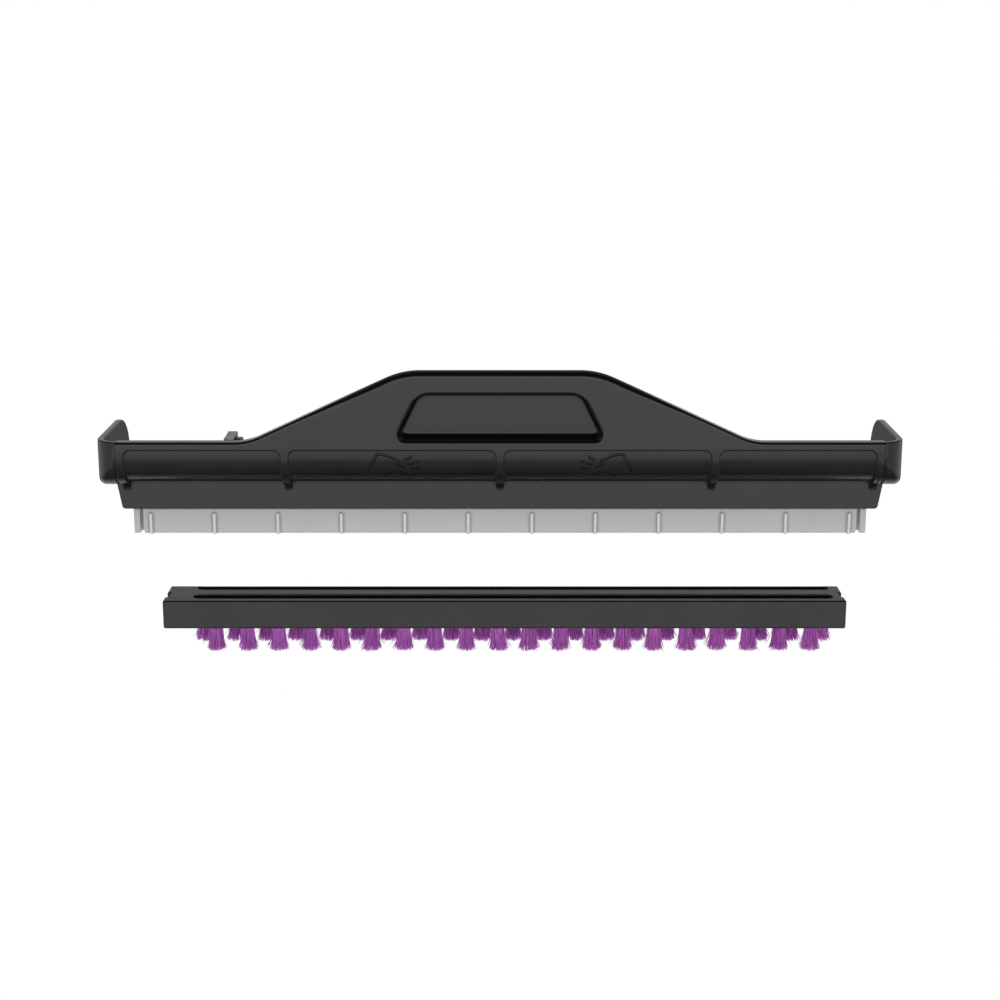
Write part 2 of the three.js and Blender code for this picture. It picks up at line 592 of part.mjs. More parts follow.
// The shape of a screw, or with a margin of the hole that it fits in, from its point to its flat head.
function screwSolid(x, margin) {
  const length = CLAMP_BACK_Y - (SKIRT_Y + WALL - SCREW_BITE);
  const head = SCREW_HEAD_RADIUS + margin;
  const shank = SCREW_RADIUS + margin;
  const past = margin ? 1 : 0; // the hole is cut past both ends
  const profile = [
    [0, -past],
    [shank, -past],
    [shank, length - SCREW_HEAD],
    [head, length - GAP],
    [head, length + past],
    [0, length + past],
  ].map(([radius, along]) => new THREE.Vector2(radius, along));
  const geometry = new THREE.LatheGeometry(profile, 12);
  geometry.translate(x, CLAMP_BACK_Y - length, SCREW_Z);
  return solidOf(geometry);
}

function squeegeeClamp() {
  const plate = box([-CLAMP_HALF, CLAMP_HALF], [CLAMP_Y, CLAMP_BACK_Y], [CLAMP_BOTTOM_Z, BLADE_TOP_Z]);
  return cutBy(plate, evenly(SCREW_COUNT, SCREW_PITCH).map((x) => screwSolid(x, GAP)));
}

// ---- Catch --------------------------------------------------------------------------------------------

// The catch lever. Its rear end hooks over the nozzle's lip, and pressing its front end lifts the hook.
function latchLever() {
  const side = outline([
    [CATCH_FRONT_Y, CATCH_TOP_Z - CATCH_PLATE],
    [CATCH_BACK_Y - CATCH_HOOK, CATCH_TOP_Z - CATCH_PLATE],
    [CATCH_BACK_Y - CATCH_HOOK, CATCH_HOOK_Z],
    [CATCH_BACK_Y - CATCH_HOOK_FOOT, CATCH_HOOK_Z],
    [CATCH_BACK_Y, CATCH_HOOK_Z + CATCH_HOOK_BEVEL],
    [CATCH_BACK_Y, CATCH_TOP_Z, CATCH_ROUND],
    [CATCH_FRONT_Y, CATCH_TOP_Z, CATCH_ROUND],
  ]);
  const across = [CATCH_LEFT_X, leverRight];
  const hub = rod("x", HUB_RADIUS, ...across, PIVOT_Y, PIVOT_Z);
  const hole = rod("x", PIN_RADIUS + GAP, across[0] - 1, across[1] + 1, PIVOT_Y, PIVOT_Z);
  return extruded(side, "x", ...across).add(hub).subtract(hole);
}

function latchPin() {
  return rod("x", PIN_RADIUS, leftLug[0] + LUG_END + GAP, rightLug[1] - LUG_END - GAP, PIVOT_Y, PIVOT_Z);
}

class Helix extends THREE.Curve {
  constructor(radius, height, turns) {
    super();
    Object.assign(this, { radius, height, turns });
  }
  getPoint(t, target = new THREE.Vector3()) {
    const angle = 2 * Math.PI * this.turns * t;
    return target.set(this.radius * Math.cos(angle), this.radius * Math.sin(angle), this.height * t);
  }
}

// The coil spring under the lever's front end.
function latchSpring() {
  const bottom = SPRING_SEAT_Z + GAP + SPRING_WIRE;
  const top = CATCH_TOP_Z - CATCH_PLATE - GAP - SPRING_WIRE;
  const wire = new THREE.Shape();
  wire.absarc(0, 0, SPRING_WIRE, 0, 2 * Math.PI);
  const geometry = new THREE.ExtrudeGeometry(wire, {
    extrudePath: new Helix(SPRING_RADIUS, top - bottom, SPRING_TURNS),
    steps: SPRING_TURNS * SPRING_STEPS,
    curveSegments: 3,
  });
  geometry.translate(leverMiddle, SPRING_Y, bottom);
  return solidOf(geometry);
}

// ---- Brush strip --------------------------------------------------------------------------------------

// The strip's body, with a groove for each tongue, a notch in each end and a blind hole for each tuft.
function brushBase() {
  const blank = box(
    [STRIP_LEFT_X, STRIP_RIGHT_X],
    [STRIP_FRONT_Y, STRIP_BACK_Y],
    [STRIP_BOTTOM_Z, STRIP_TOP_Z],
  );
  const grooves = GROOVES_Y.map(([front, back]) => {
    const end = (back - front) / 2 - GROOVE_FLAT;
    const plan = outline([
      [GROOVE_LEFT_X, front, end],
      [GROOVE_RIGHT_X, front, end],
      [GROOVE_RIGHT_X, back, end],
      [GROOVE_LEFT_X, back, end],
    ]);
    return extruded(plan, "z", STRIP_TOP_Z - GROOVE_DEPTH, STRIP_TOP_Z + 1, 4);
  });
  const notches = [
    [STRIP_LEFT_X - 1, STRIP_LEFT_X + NOTCH_DEEP],
    [STRIP_RIGHT_X - NOTCH_DEEP, STRIP_RIGHT_X + 1],
  ].map((across) => box(across, [NOTCH_FRONT_Y, NOTCH_BACK_Y], [STRIP_BOTTOM_Z - 1, STRIP_TOP_Z + 1]));
  const holeTop = STRIP_BOTTOM_Z + TUFT_ROOT + GAP;
  const hole = (x, y) =>
    rod("z", TUFT_ROOT_RADIUS + GAP, STRIP_BOTTOM_Z - 1, holeTop, x, y, TUFT_SIDES / 2);
  const holes = [
    ...tuftRow(FRONT_TUFTS).map((x) => hole(x, FRONT_TUFT_Y)),
    ...tuftRow(REAR_TUFTS).map((x) => hole(x, REAR_TUFT_Y)),
  ];
  return cutBy(blank, [...grooves, ...notches, ...holes]);
}

// One bundle of bristles: a straight root in the strip, and a free end that spreads.
function tuftGeometry() {
  const profile = [
    [0, TUFT_TIP_Z],
    [TUFT_TIP_RADIUS * TUFT_END_PART, TUFT_TIP_Z],
    [TUFT_TIP_RADIUS, TUFT_TIP_Z + TUFT_TIP_ROUND],
    [TUFT_NECK_RADIUS, STRIP_BOTTOM_Z - TUFT_STRAIGHT],
    [TUFT_ROOT_RADIUS, STRIP_BOTTOM_Z - GAP],
    [TUFT_ROOT_RADIUS, STRIP_BOTTOM_Z + TUFT_ROOT],
    [0, STRIP_BOTTOM_Z + TUFT_ROOT],
  ].map(([radius, z]) => new THREE.Vector2(radius, z));
  return new THREE.LatheGeometry(profile, TUFT_SIDES).rotateX(Math.PI / 2);
}

// ---- Assembly -----------------------------------------------------------------------------------------

const FINISH = {
  blackPlastic: { color: 0x1e1e1f, roughness: 0.42, metalness: 0 },
  darkPlastic: { color: 0x2a2a2b, roughness: 0.55, metalness: 0 },
  greyPlastic: { color: 0x8f9092, roughness: 0.5, metalness: 0 },
  whiteRubber: { color: 0xc4c4c4, roughness: 0.6, metalness: 0 },
  steel: { color: 0xb4b6b8, roughness: 0.3, metalness: 1 },
  purpleBristle: { color: 0x8e4397, roughness: 0.55, metalness: 0 },
};

const attachment = new THREE.Group();

function place(name, geometry, finish, [x, y, z] = [0, 0, 0]) {
  const mesh = new THREE.Mesh(geometry, new THREE.MeshStandardMaterial(FINISH[finish]));
  mesh.name = name;
  mesh.position.set(x, y, z);
  attachment.add(mesh);
}

place("frame_shell", geometryOf(frameShell()), "blackPlastic");
place("front_squeegee", geometryOf(frontSqueegee()), "whiteRubber");
place("squeegee_spacer", geometryOf(squeegeeSpacer()), "darkPlastic");
place("rear_squeegee", geometryOf(rearSqueegee()), "whiteRubber");
place("squeegee_clamp", geometryOf(squeegeeClamp()), "darkPlastic");
evenly(SCREW_COUNT, SCREW_PITCH).forEach((x, i) => {
  place(`clamp_screw_${i + 1}`, geometryOf(screwSolid(0, 0)), "steel", [x, 0, 0]);
});
place("latch_lever", geometryOf(latchLever()), "greyPlastic");
place("latch_pin", geometryOf(latchPin()), "steel");
place("latch_spring", geometryOf(latchSpring()), "steel");
place("brush_base", geometryOf(brushBase()), "darkPlastic");

function placeTufts(row, count, y) {
  tuftRow(count).forEach((x, i) => {
    const number = String(i + 1).padStart(2, "0");
    place(`tuft_${row}_${number}`, tuftGeometry(), "purpleBristle", [x, y, 0]);
  });
}

placeTufts("front", FRONT_TUFTS, FRONT_TUFT_Y);
placeTufts("rear", REAR_TUFTS, REAR_TUFT_Y);
attachment.position.copy(ORIGIN).negate();

export default attachment;
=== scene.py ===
"""Squeegee and scrub-brush attachment: finely rounded mouldings, rubber blades, bristle tufts and a studio.

The mouldings are distance fields, in millimetres in the design frame of the CAD model: Y = 0 on the face,
Z up. A field is negative inside the solid. surface() turns it into a closed quad mesh whose points lie on it.
"""

import math

import bpy
import numpy as np
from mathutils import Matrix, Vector


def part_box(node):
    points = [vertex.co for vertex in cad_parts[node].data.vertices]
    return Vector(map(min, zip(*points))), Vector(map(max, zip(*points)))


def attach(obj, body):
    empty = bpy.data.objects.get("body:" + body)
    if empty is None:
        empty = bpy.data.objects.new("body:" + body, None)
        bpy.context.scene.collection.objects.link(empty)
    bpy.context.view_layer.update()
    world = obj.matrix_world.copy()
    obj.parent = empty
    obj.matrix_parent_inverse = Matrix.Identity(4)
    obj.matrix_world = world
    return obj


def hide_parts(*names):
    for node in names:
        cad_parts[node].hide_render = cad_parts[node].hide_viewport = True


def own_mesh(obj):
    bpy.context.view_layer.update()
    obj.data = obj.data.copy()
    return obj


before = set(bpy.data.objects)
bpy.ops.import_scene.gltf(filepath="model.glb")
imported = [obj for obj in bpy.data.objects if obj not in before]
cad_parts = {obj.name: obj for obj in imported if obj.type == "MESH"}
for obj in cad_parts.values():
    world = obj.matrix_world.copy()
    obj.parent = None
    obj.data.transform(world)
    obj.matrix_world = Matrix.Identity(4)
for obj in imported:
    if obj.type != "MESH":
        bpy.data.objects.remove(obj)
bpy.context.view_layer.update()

MM = 0.001
FRAME_LOW, FRAME_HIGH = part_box("frame_shell")
STRIP_LOW, STRIP_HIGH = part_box("brush_base")
BLADE_LOW, BLADE_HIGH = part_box("front_squeegee")
REAR_LOW, REAR_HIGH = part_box("rear_squeegee")
CLAMP_LOW, CLAMP_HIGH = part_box("squeegee_clamp")
SPACER_LOW, SPACER_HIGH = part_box("squeegee_spacer")

# ---- Sizes, in millimetres ----------------------------------------------------------------------------

# Face contour, seen from the front
FACE_HALF = 157.5
SHOULDER_Z = 24.0
PLATEAU_Z = 53.55
PLATEAU_HALF = 39.8  # to the corner before rounding
SLOPE_FOOT_X = 103.3
PLATEAU_RADIUS = 33.0
SLOPE_FOOT_RADIUS = 26.0
FLANGE = 1.8
SHOULDER_FLANGE_Y = 5.4
PLATEAU_FLANGE_Y = 4.2
SHOULDER_FILLET = 1.2
PLATEAU_FILLET = 2.9
SHOULDER_BACK_FILLET = 0.25
PLATEAU_BACK_FILLET = 1.0

# Curved wall, ribs, skirt and shelf
WALL = 2.5
WINDOW_TOP_Z = 20.85
WINDOW_RADIUS = 3.3
WINDOW_STEP = 0.6
CURVE_Y = 13.5
FLOOR_Z = 5.0
SHELF_BACK_Y = 52.0
SKIRT_Y = 15.0
SKIRT_BOTTOM_Z = -7.6
SKIRT_TOP_HALF = 160.5
SKIRT_BOTTOM_HALF = 158.3
SKIRT_RADIUS = 1.3
RIB_DEPTH = 13.0
RIB_BOTTOM_Z = 3.6
RIB_FOOT_RADIUS = 4.0  # of the hollow curve that blends a rib's foot into the skirt
RIB_FOOT_SINK = 0.1  # behind the skirt's face, so that the two don't coincide
RIB_WIDTH = 3.1
END_RIB_WIDTH = 3.2
RIB_X = 88.3
SLOT_COUNT = 10
SLOT_PITCH = 26.6
SLOT_LENGTH = 18.0
SLOT_Y = (19.6, 21.8)
SLOT_TOP_Z = 9.0

# Finger pocket
POCKET_TOP_Z = 44.0
POCKET_BOTTOM_Z = 24.1
POCKET_TOP_HALF = 33.8
POCKET_BOTTOM_HALF = 43.9
POCKET_TOP_RADIUS = 8.0
POCKET_BOTTOM_RADIUS = 3.5
POCKET_DEPTH = 9.0
POCKET_WALL = 1.8
POCKET_DRAFT = 0.12  # how much each side closes in per millimetre of depth

# The engraved sign: its tab's outline and its loose strokes, as (X, Z) on the face
SIGN_WIDTH = 0.85
SIGN_DEPTH = 0.7
SIGN_TAB = ((54.2, 11.4), (50.2, 19.2), (46.0, 18.4), (41.6, 16.2), (42.0, 14.0), (39.3, 12.9))
SIGN_BASE = ((47.2, 9.4), (40.0, 11.2))
SIGN_RAYS = (
    ((38.5, 16.6), (36.4, 18.0)),
    ((37.3, 14.5), (33.4, 15.8)),
    ((36.4, 12.6), (33.0, 12.6)),
    ((39.4, 9.6), (37.9, 10.8)),
)

# Arms
ARM_OUT = 166.3
ARM_WALL = 2.6
ARM_CORNER = 10.6
ARM_CORNER_Y = 10.9  # where the round corner ends
ARM_OVERLAP = 1.2
ARM_CREASE_WIDTH = 0.8
ARM_CREASE_DEPTH = 0.5
ARM_FLOOR_BACK_Y = 16.0
ARM_CURVE_Y = 11.5
ARM_BOTTOM_Z = 4.2
ARM_NOSE_Y = 45.4
ARM_BACK_Y = 64.0
ARM_TIP_Z = 8.5
BEAD_Y = 56.0
BEAD_RADIUS = 1.2
BEAD_TOP_Z = 12.0

# Brush strip and its seat
GROOVE_X = (-133.3, 144.7)
GROOVES_Y = ((30.3, 36.3), (43.6, 48.8))
GROOVE_DEPTH = 5.0
TONGUE_PLAY = 0.5
TONGUE_END_PLAY = 2
TONGUE_DROP = 3.5
SEAT_WALL_Y = 50.2
SEAT_WALL_BOTTOM_Z = -2.0
FINGER_BOTTOM_Z = -5.0
FINGER_OUT = 2.4
FINGER_IN = 1.2
NOTCH_Y = (32.6, 39.3)
NOTCH_DEEP = 1.8
TUFT_PITCH = 13.6
PATTERN_X = 5.8
FRONT_TUFTS = 20
REAR_TUFTS = 21
FRONT_TUFT_Y = 30.6
REAR_TUFT_Y = 44.6
TUFT_HOLE_RADIUS = 3.3
TUFT_HOLE_DEPTH = 2.0

# Blades and clamp
BLADE_SLIT_X = 151.05
BLADE_SLIT = 1.3
BLADE_NOTCH_X = 150.1
BLADE_NOTCH = 1.35
BLADE_SLIT_TOP_Z = -6.0
BLADE_RIB_COUNT = 12
BLADE_RIB_PITCH = 26.75
BLADE_RIB_WIDTH = 1.25
BLADE_RIB_TOP_Z = -9.9
BLADE_BODY_Y = (17.8, 19.3)
BLADE_RIB_DROP = 0.4  # how far the ribs reach below the sheet
SCREW_COUNT = 6
SCREW_PITCH = 53.2
SCREW_Z = -0.8
SCREW_HEAD_RADIUS = 2.5
SCREW_SHANK_RADIUS = 1.2
SCREW_HEAD = 1.3
SCREW_RECESS = 0.9
SCREW_RECESS_REACH = 1.5
SCREW_RECESS_WIDTH = 0.68

# Catch
LEVER_X = (-113.8, -109.7)
LEVER_MIDDLE = sum(LEVER_X) / 2
LEVER_Y = (7.0, 21.0)
LEVER_TOP_Z = 24.4
LEVER_PLATE = 2.0
LEVER_HOOK_Z = 15.5
LEVER_HOOK_WIDTH = 2.4
PIVOT_Y = 14.0
PIVOT_Z = 20.0
HUB_RADIUS = 3.0
PIN_RADIUS = 1.2
PIN_PLAY = 0.3
LEFT_LUG_X = (-117.8, -114.4)
LEFT_LUG_TOP_Z = 21.9
LEFT_LUG_RADIUS = 2.5
RIGHT_LUG_X = (-109.1, -106.8)
RIGHT_LUG_TOP_Z = 23.6
LUG_FRONT = 3.0
LUG_END = 1.0
SPRING_Y = 9.3
SPRING_RADIUS = 1.5
SPRING_WIRE = 0.3
SPRING_TURNS = 5
SPRING_SEAT_Z = 11.5
SPRING_GAP = 0.3
PEG_RADIUS = 0.8

# The design frame's zero, from the CAD frame's own box
ORIGIN = np.array([0.0, -FRAME_LOW.y / MM, PLATEAU_Z - FRAME_HIGH.z / MM])


def design(corner):
    """A CAD point, in the design frame's millimetres."""
    return np.array(corner) / MM + ORIGIN


STRIP_MIN, STRIP_MAX = design(STRIP_LOW), design(STRIP_HIGH)
BLADE_MIN, BLADE_MAX = design(BLADE_LOW), design(BLADE_HIGH)

# ---- Distance fields ----------------------------------------------------------------------------------


def union(a, b, r=0.0):
    """Both solids, with a hollow fillet of radius r where they meet."""
    if np.isscalar(r) and r == 0:
        return np.minimum(a, b)
    return np.maximum(r, np.minimum(a, b)) - np.hypot(np.maximum(r - a, 0), np.maximum(r - b, 0))


def common(a, b, r=0.0):
    """What is in both solids, with its new edge rounded to radius r."""
    return -union(-a, -b, r)


def without(a, b, r=0.0):
    """The first solid less the second."""
    return common(a, -b, r)


def span(c, low, high):
    """The slab from low to high along one coordinate."""
    return np.abs(c - (low + high) / 2) - (high - low) / 2


def block(x, y, z, across, along, up, r):
    return common(common(span(x, *across), span(y, *along), r), span(z, *up), r)


def filled(x, y, z, low, high, r):
    """The box between two corners."""
    return block(x, y, z, *zip(low, high), r)


def smooth(value, start, end):
    """0 before start, 1 after end, easing between."""
    t = np.clip((value - start) / (end - start), 0, 1)
    return t * t * (3 - 2 * t)


def corner_radius(radius, turn):
    """The fillet value that gives a corner of this turn the tangent length of a true arc."""
    return radius * (1 - math.cos(turn))


def contour(ax, z):
    """Under the top line of the face: shoulders, slopes and plateau."""
    angle = math.atan2(PLATEAU_Z - SHOULDER_Z, SLOPE_FOOT_X - PLATEAU_HALF)
    sin, cos = math.sin(angle), math.cos(angle)
    slope = (ax - PLATEAU_HALF) * sin + (z - PLATEAU_Z) * cos
    tangent = math.tan(angle / 2)

    centre_x = PLATEAU_HALF - PLATEAU_RADIUS * tangent
    centre_z = PLATEAU_Z - PLATEAU_RADIUS
    px, pz = ax - centre_x, z - centre_z
    in_arc = (px > 0) & (px * cos - pz * sin < 0)
    hill = np.where(in_arc, np.hypot(px, pz) - PLATEAU_RADIUS, np.maximum(slope, z - PLATEAU_Z))

    centre_x = SLOPE_FOOT_X + SLOPE_FOOT_RADIUS * tangent
    centre_z = SHOULDER_Z + SLOPE_FOOT_RADIUS
    px, pz = ax - centre_x, z - centre_z
    in_arc = (px < 0) & (px * cos - pz * sin > 0)
    return np.where(in_arc, SLOPE_FOOT_RADIUS - np.hypot(px, pz), np.minimum(hill, z - SHOULDER_Z))


def curved_side(y, z, back_y, front_y, floor_z):
    """Behind an upright plane that turns under, through a quarter ellipse, to a level floor."""
    depth, drop = back_y - front_y, WINDOW_TOP_Z - floor_z
    u, v = (back_y - y) / depth, (WINDOW_TOP_Z - z) / drop
    k = np.hypot(u, v)
    steep = np.hypot(u / depth, v / drop) + 1e-9
    quarter = k * (k - 1) / steep
    below = np.where(y > back_y, floor_z - z, quarter)
    above = np.where(y > back_y, np.maximum(front_y - y, floor_z - z), front_y - y)
    return np.where(z > WINDOW_TOP_Z, above, below)


def tray(y, z):
    """The curved wall's outer side."""
    return curved_side(y, z, CURVE_Y, WINDOW_STEP, FLOOR_Z)


def windows(ax, z):
    """The openings between the ribs, with round top corners."""
    rib_left, rib_right = RIB_X - RIB_WIDTH / 2, RIB_X + RIB_WIDTH / 2
    openings = ((RIB_WIDTH / 2, rib_left), (rib_right, FACE_HALF - END_RIB_WIDTH))
    r = WINDOW_RADIUS
    found = None
    for left, right in openings:
        u, v = span(ax, left, right) + r, z - WINDOW_TOP_Z + r
        one = np.hypot(np.maximum(u, 0), np.maximum(v, 0)) + np.minimum(np.maximum(u, v), 0) - r
        found = one if found is None else np.minimum(found, one)
    return found


def pocket_outline(ax, z):
    lean = math.atan2(POCKET_BOTTOM_HALF - POCKET_TOP_HALF, POCKET_TOP_Z - POCKET_BOTTOM_Z)
    side = (ax - POCKET_BOTTOM_HALF) * math.cos(lean) + (z - POCKET_BOTTOM_Z) * math.sin(lean)
    upper = common(side, z - POCKET_TOP_Z, corner_radius(POCKET_TOP_RADIUS, math.pi / 2 - lean))
    return common(upper, POCKET_BOTTOM_Z - z, corner_radius(POCKET_BOTTOM_RADIUS, math.pi / 2 + lean))


def arm_plan(ax, y):
    """Inside the arms' outer face, seen from above."""
    u, v = ax - (ARM_OUT - ARM_CORNER), ARM_CORNER_Y - y
    return np.hypot(np.maximum(u, 0), np.maximum(v, 0)) + np.minimum(np.maximum(u, v), 0) - ARM_CORNER


def arm_nose(y, z):
    """Under the arm's top edge, which curves down to its tip."""
    length, height = ARM_BACK_Y - ARM_NOSE_Y, SHOULDER_Z - ARM_TIP_Z
    u, v = np.maximum(y - ARM_NOSE_Y, 0) / length, np.maximum(z - ARM_TIP_Z, 0) / height
    k = np.hypot(u, v)
    nose = k * (k - 1) / (np.hypot(u / length, v / height) + 1e-9)
    return np.where((u > 0) & (v > 0), nose, np.maximum(y - ARM_BACK_Y, z - SHOULDER_Z))


def face_and_wall(ax, y, z):
    """The face with its ribs, the curved wall with the shelf, and the flange along the top."""
    top = contour(ax, z)
    outer = tray(y, z)
    height = smooth(z, SHOULDER_Z + 8, PLATEAU_Z - 4)
    fillet = SHOULDER_FILLET + (PLATEAU_FILLET - SHOULDER_FILLET) * height
    back_fillet = SHOULDER_BACK_FILLET + (PLATEAU_BACK_FILLET - SHOULDER_BACK_FILLET) * height

    foot = SKIRT_Y + RIB_FOOT_SINK - y
    rib_side = union(curved_side(y, z, RIB_DEPTH, 0.0, RIB_BOTTOM_Z), foot, RIB_FOOT_RADIUS)
    rib_side = np.maximum(rib_side, RIB_BOTTOM_Z - RIB_FOOT_RADIUS - z)
    ribs = common(rib_side, -windows(ax, z), 0.28)
    ribs = np.maximum(ribs, np.maximum(-(outer + WALL - 0.2), y - SKIRT_Y - 1))
    ribs = common(ribs, ax - FACE_HALF, 0.3)
    wall = common(common(outer, -(outer + WALL), 0.3), y - SHELF_BACK_Y, 0.5)
    wall = np.maximum(wall, np.minimum(arm_plan(ax, y) + ARM_WALL / 2, ax - FACE_HALF))
    shell = union(ribs, wall, 0.4)

    narrowing = (SHOULDER_FLANGE_Y - PLATEAU_FLANGE_Y) * smooth(z, PLATEAU_Z - 8, PLATEAU_Z)
    depth = SHOULDER_FLANGE_Y - narrowing
    flange = np.maximum(common(y - depth, -(top + FLANGE), 0.5), ax - FACE_HALF)
    flange = common(flange, top, back_fillet)
    shell = union(shell, np.maximum(flange, -y), 0.6)
    edge = common(top, -y, fillet)
    return np.maximum(shell, edge)


def skirt(ax, y, z):
    taper = (SKIRT_TOP_HALF - SKIRT_BOTTOM_HALF) / (FLOOR_Z - SKIRT_BOTTOM_Z)
    side = (ax - SKIRT_TOP_HALF + (FLOOR_Z - z) * taper) / math.hypot(1, taper)
    outline = common(common(side, SKIRT_BOTTOM_Z - z, SKIRT_RADIUS), z - FLOOR_Z - WALL / 2, 0.5)
    return common(outline, span(y, SKIRT_Y, SKIRT_Y + WALL), 0.3)


def arms(ax, y, z):
    plan = arm_plan(ax, y)
    under = curved_side(y, z, ARM_CURVE_Y, 0.0, ARM_BOTTOM_Z)
    outer = common(plan, under, 0.5 + 2.5 * smooth(y, 3, 9))
    hollow = np.maximum(plan + ARM_WALL, np.minimum(under + ARM_WALL, ARM_FLOOR_BACK_Y - y))
    ring = common(without(outer, hollow, 0.5), arm_nose(y, z), 0.6)
    ring = np.maximum(ring, FACE_HALF - ARM_OVERLAP - ax)
    crease = span(ax, FACE_HALF, FACE_HALF + ARM_CREASE_WIDTH)
    crease = np.maximum(crease, np.abs(under) - ARM_CREASE_DEPTH)
    ring = without(ring, np.maximum(crease, z - WINDOW_TOP_Z), 0.2)
    bead = np.hypot(ax - (ARM_OUT - ARM_WALL), y - BEAD_Y) - BEAD_RADIUS
    bead = common(bead, span(z, ARM_BOTTOM_Z, BEAD_TOP_Z), 0.8)
    return union(ring, bead, 0.4)


def repeated(x, count, pitch):
    """The distance along X from the nearest of several evenly spaced places about the middle."""
    offset = (count - 1) / 2
    nearest = np.clip(np.round(x / pitch + offset), 0, count - 1) - offset
    return x - nearest * pitch


def seat(x, y, z):
    """What hangs under the shelf to hold the brush strip."""
    ends = (STRIP_MIN[0], STRIP_MAX[0])
    whole = block(x, y, z, ends, (SEAT_WALL_Y, SHELF_BACK_Y), (SEAT_WALL_BOTTOM_Z, FLOOR_Z + 1), 0.6)
    for front, back in GROOVES_Y:
        across = (GROOVE_X[0] + TONGUE_END_PLAY, GROOVE_X[1] - TONGUE_END_PLAY)
        along = (front + TONGUE_PLAY, back - TONGUE_PLAY)
        tongue = block(x, y, z, across, along, (FLOOR_Z - TONGUE_DROP, FLOOR_Z + 1), 0.7)
        whole = np.minimum(whole, tongue)
    for end, outward in zip(ends, (-1, 1)):
        across = sorted((end + outward * FINGER_OUT, end - outward * FINGER_IN))
        along = (NOTCH_Y[0] + TONGUE_PLAY, NOTCH_Y[1] - TONGUE_PLAY)
        whole = np.minimum(whole, block(x, y, z, across, along, (FINGER_BOTTOM_Z, FLOOR_Z + 1), 0.6))
    return whole


def about_pivot(y, z):
    return np.hypot(y - PIVOT_Y, z - PIVOT_Z)


def catch_lugs(x, y, z):
    """The two lugs that carry the catch's pin, with the spring's seat and peg between them."""
    whole = None
    lugs = ((LEFT_LUG_X, LEFT_LUG_TOP_Z, LEFT_LUG_RADIUS), (RIGHT_LUG_X, RIGHT_LUG_TOP_Z, HUB_RADIUS))
    for across, top, radius in lugs:
        side = common(span(y, PIVOT_Y - radius - LUG_FRONT, PIVOT_Y + radius), z - top, radius)
        lug = common(np.maximum(side, FLOOR_Z + 1 - z), span(x, *across), 0.4)
        whole = lug if whole is None else np.minimum(whole, lug)
    between = (LEFT_LUG_X[1] - 1, RIGHT_LUG_X[0] + 1)
    ledge = (SPRING_Y - SPRING_RADIUS - 1, PIVOT_Y - 2)
    rest = block(x, y, z, between, ledge, (FLOOR_Z + 1, SPRING_SEAT_Z), 0.3)
    peg = np.hypot(x - LEVER_MIDDLE, y - SPRING_Y) - PEG_RADIUS
    peg = common(peg, span(z, SPRING_SEAT_Z - 1, SPRING_SEAT_Z + 2), 0.3)
    hole_ends = (LEFT_LUG_X[0] + LUG_END, RIGHT_LUG_X[1] - LUG_END)
    pin_hole = np.maximum(about_pivot(y, z) - PIN_RADIUS - PIN_PLAY, span(x, *hole_ends))
    whole = without(union(union(whole, rest, 0.4), peg, 0.3), pin_hole, 0.2)
    return np.maximum(whole, tray(y, z) + 1)


def stroke(x, z, start, end):
    """The distance from a line drawn on the face."""
    ux, uz = end[0] - start[0], end[1] - start[1]
    t = np.clip(((x - start[0]) * ux + (z - start[1]) * uz) / (ux * ux + uz * uz), 0, 1)
    return np.hypot(x - start[0] - t * ux, z - start[1] - t * uz)


def pictogram(ax, z):
    """A generic press-here sign: a tilted tab outline with short rays where the finger goes."""
    lines = (*zip(SIGN_TAB, SIGN_TAB[1:]), SIGN_BASE, *SIGN_RAYS)
    return np.minimum.reduce([stroke(ax, z, start, end) for start, end in lines]) - SIGN_WIDTH / 2


def frame_field(x, y, z):
    ax = np.abs(x)
    shell = union(face_and_wall(ax, y, z), skirt(ax, y, z), 0.15)
    shell = union(shell, arms(ax, y, z), 0.15)
    outline = pocket_outline(ax, z)
    cup = common(common(outline - POCKET_WALL, y - POCKET_DEPTH - POCKET_WALL, 1.0), 1.5 - y)
    shell = union(shell, cup, 0.8)
    cavity = common(outline + POCKET_DRAFT * y, y - POCKET_DEPTH, 1.4)
    shell = without(shell, cavity, 0.6 + 0.7 * smooth(z, 26, 32))
    across = repeated(x, SLOT_COUNT, SLOT_PITCH)
    slots = block(across, y, z, (-SLOT_LENGTH / 2, SLOT_LENGTH / 2), SLOT_Y, (FLOOR_Z - 1, SLOT_TOP_Z), 0.9)
    shell = without(shell, slots, 0.3)
    shell = union(shell, seat(x, y, z), 0.5)
    shell = union(shell, catch_lugs(x, y, z), 0.4)
    sign = np.maximum(pictogram(ax, z), np.abs(tray(y, z)) - SIGN_DEPTH)
    return without(shell, sign, 0.1)


def foot_notch(x, z, tip):
    """The small three-cornered notch at each end of a blade's foot."""
    out = np.abs(x) - BLADE_NOTCH_X
    return np.maximum(-out, (out + z - tip - BLADE_NOTCH) / math.sqrt(2))


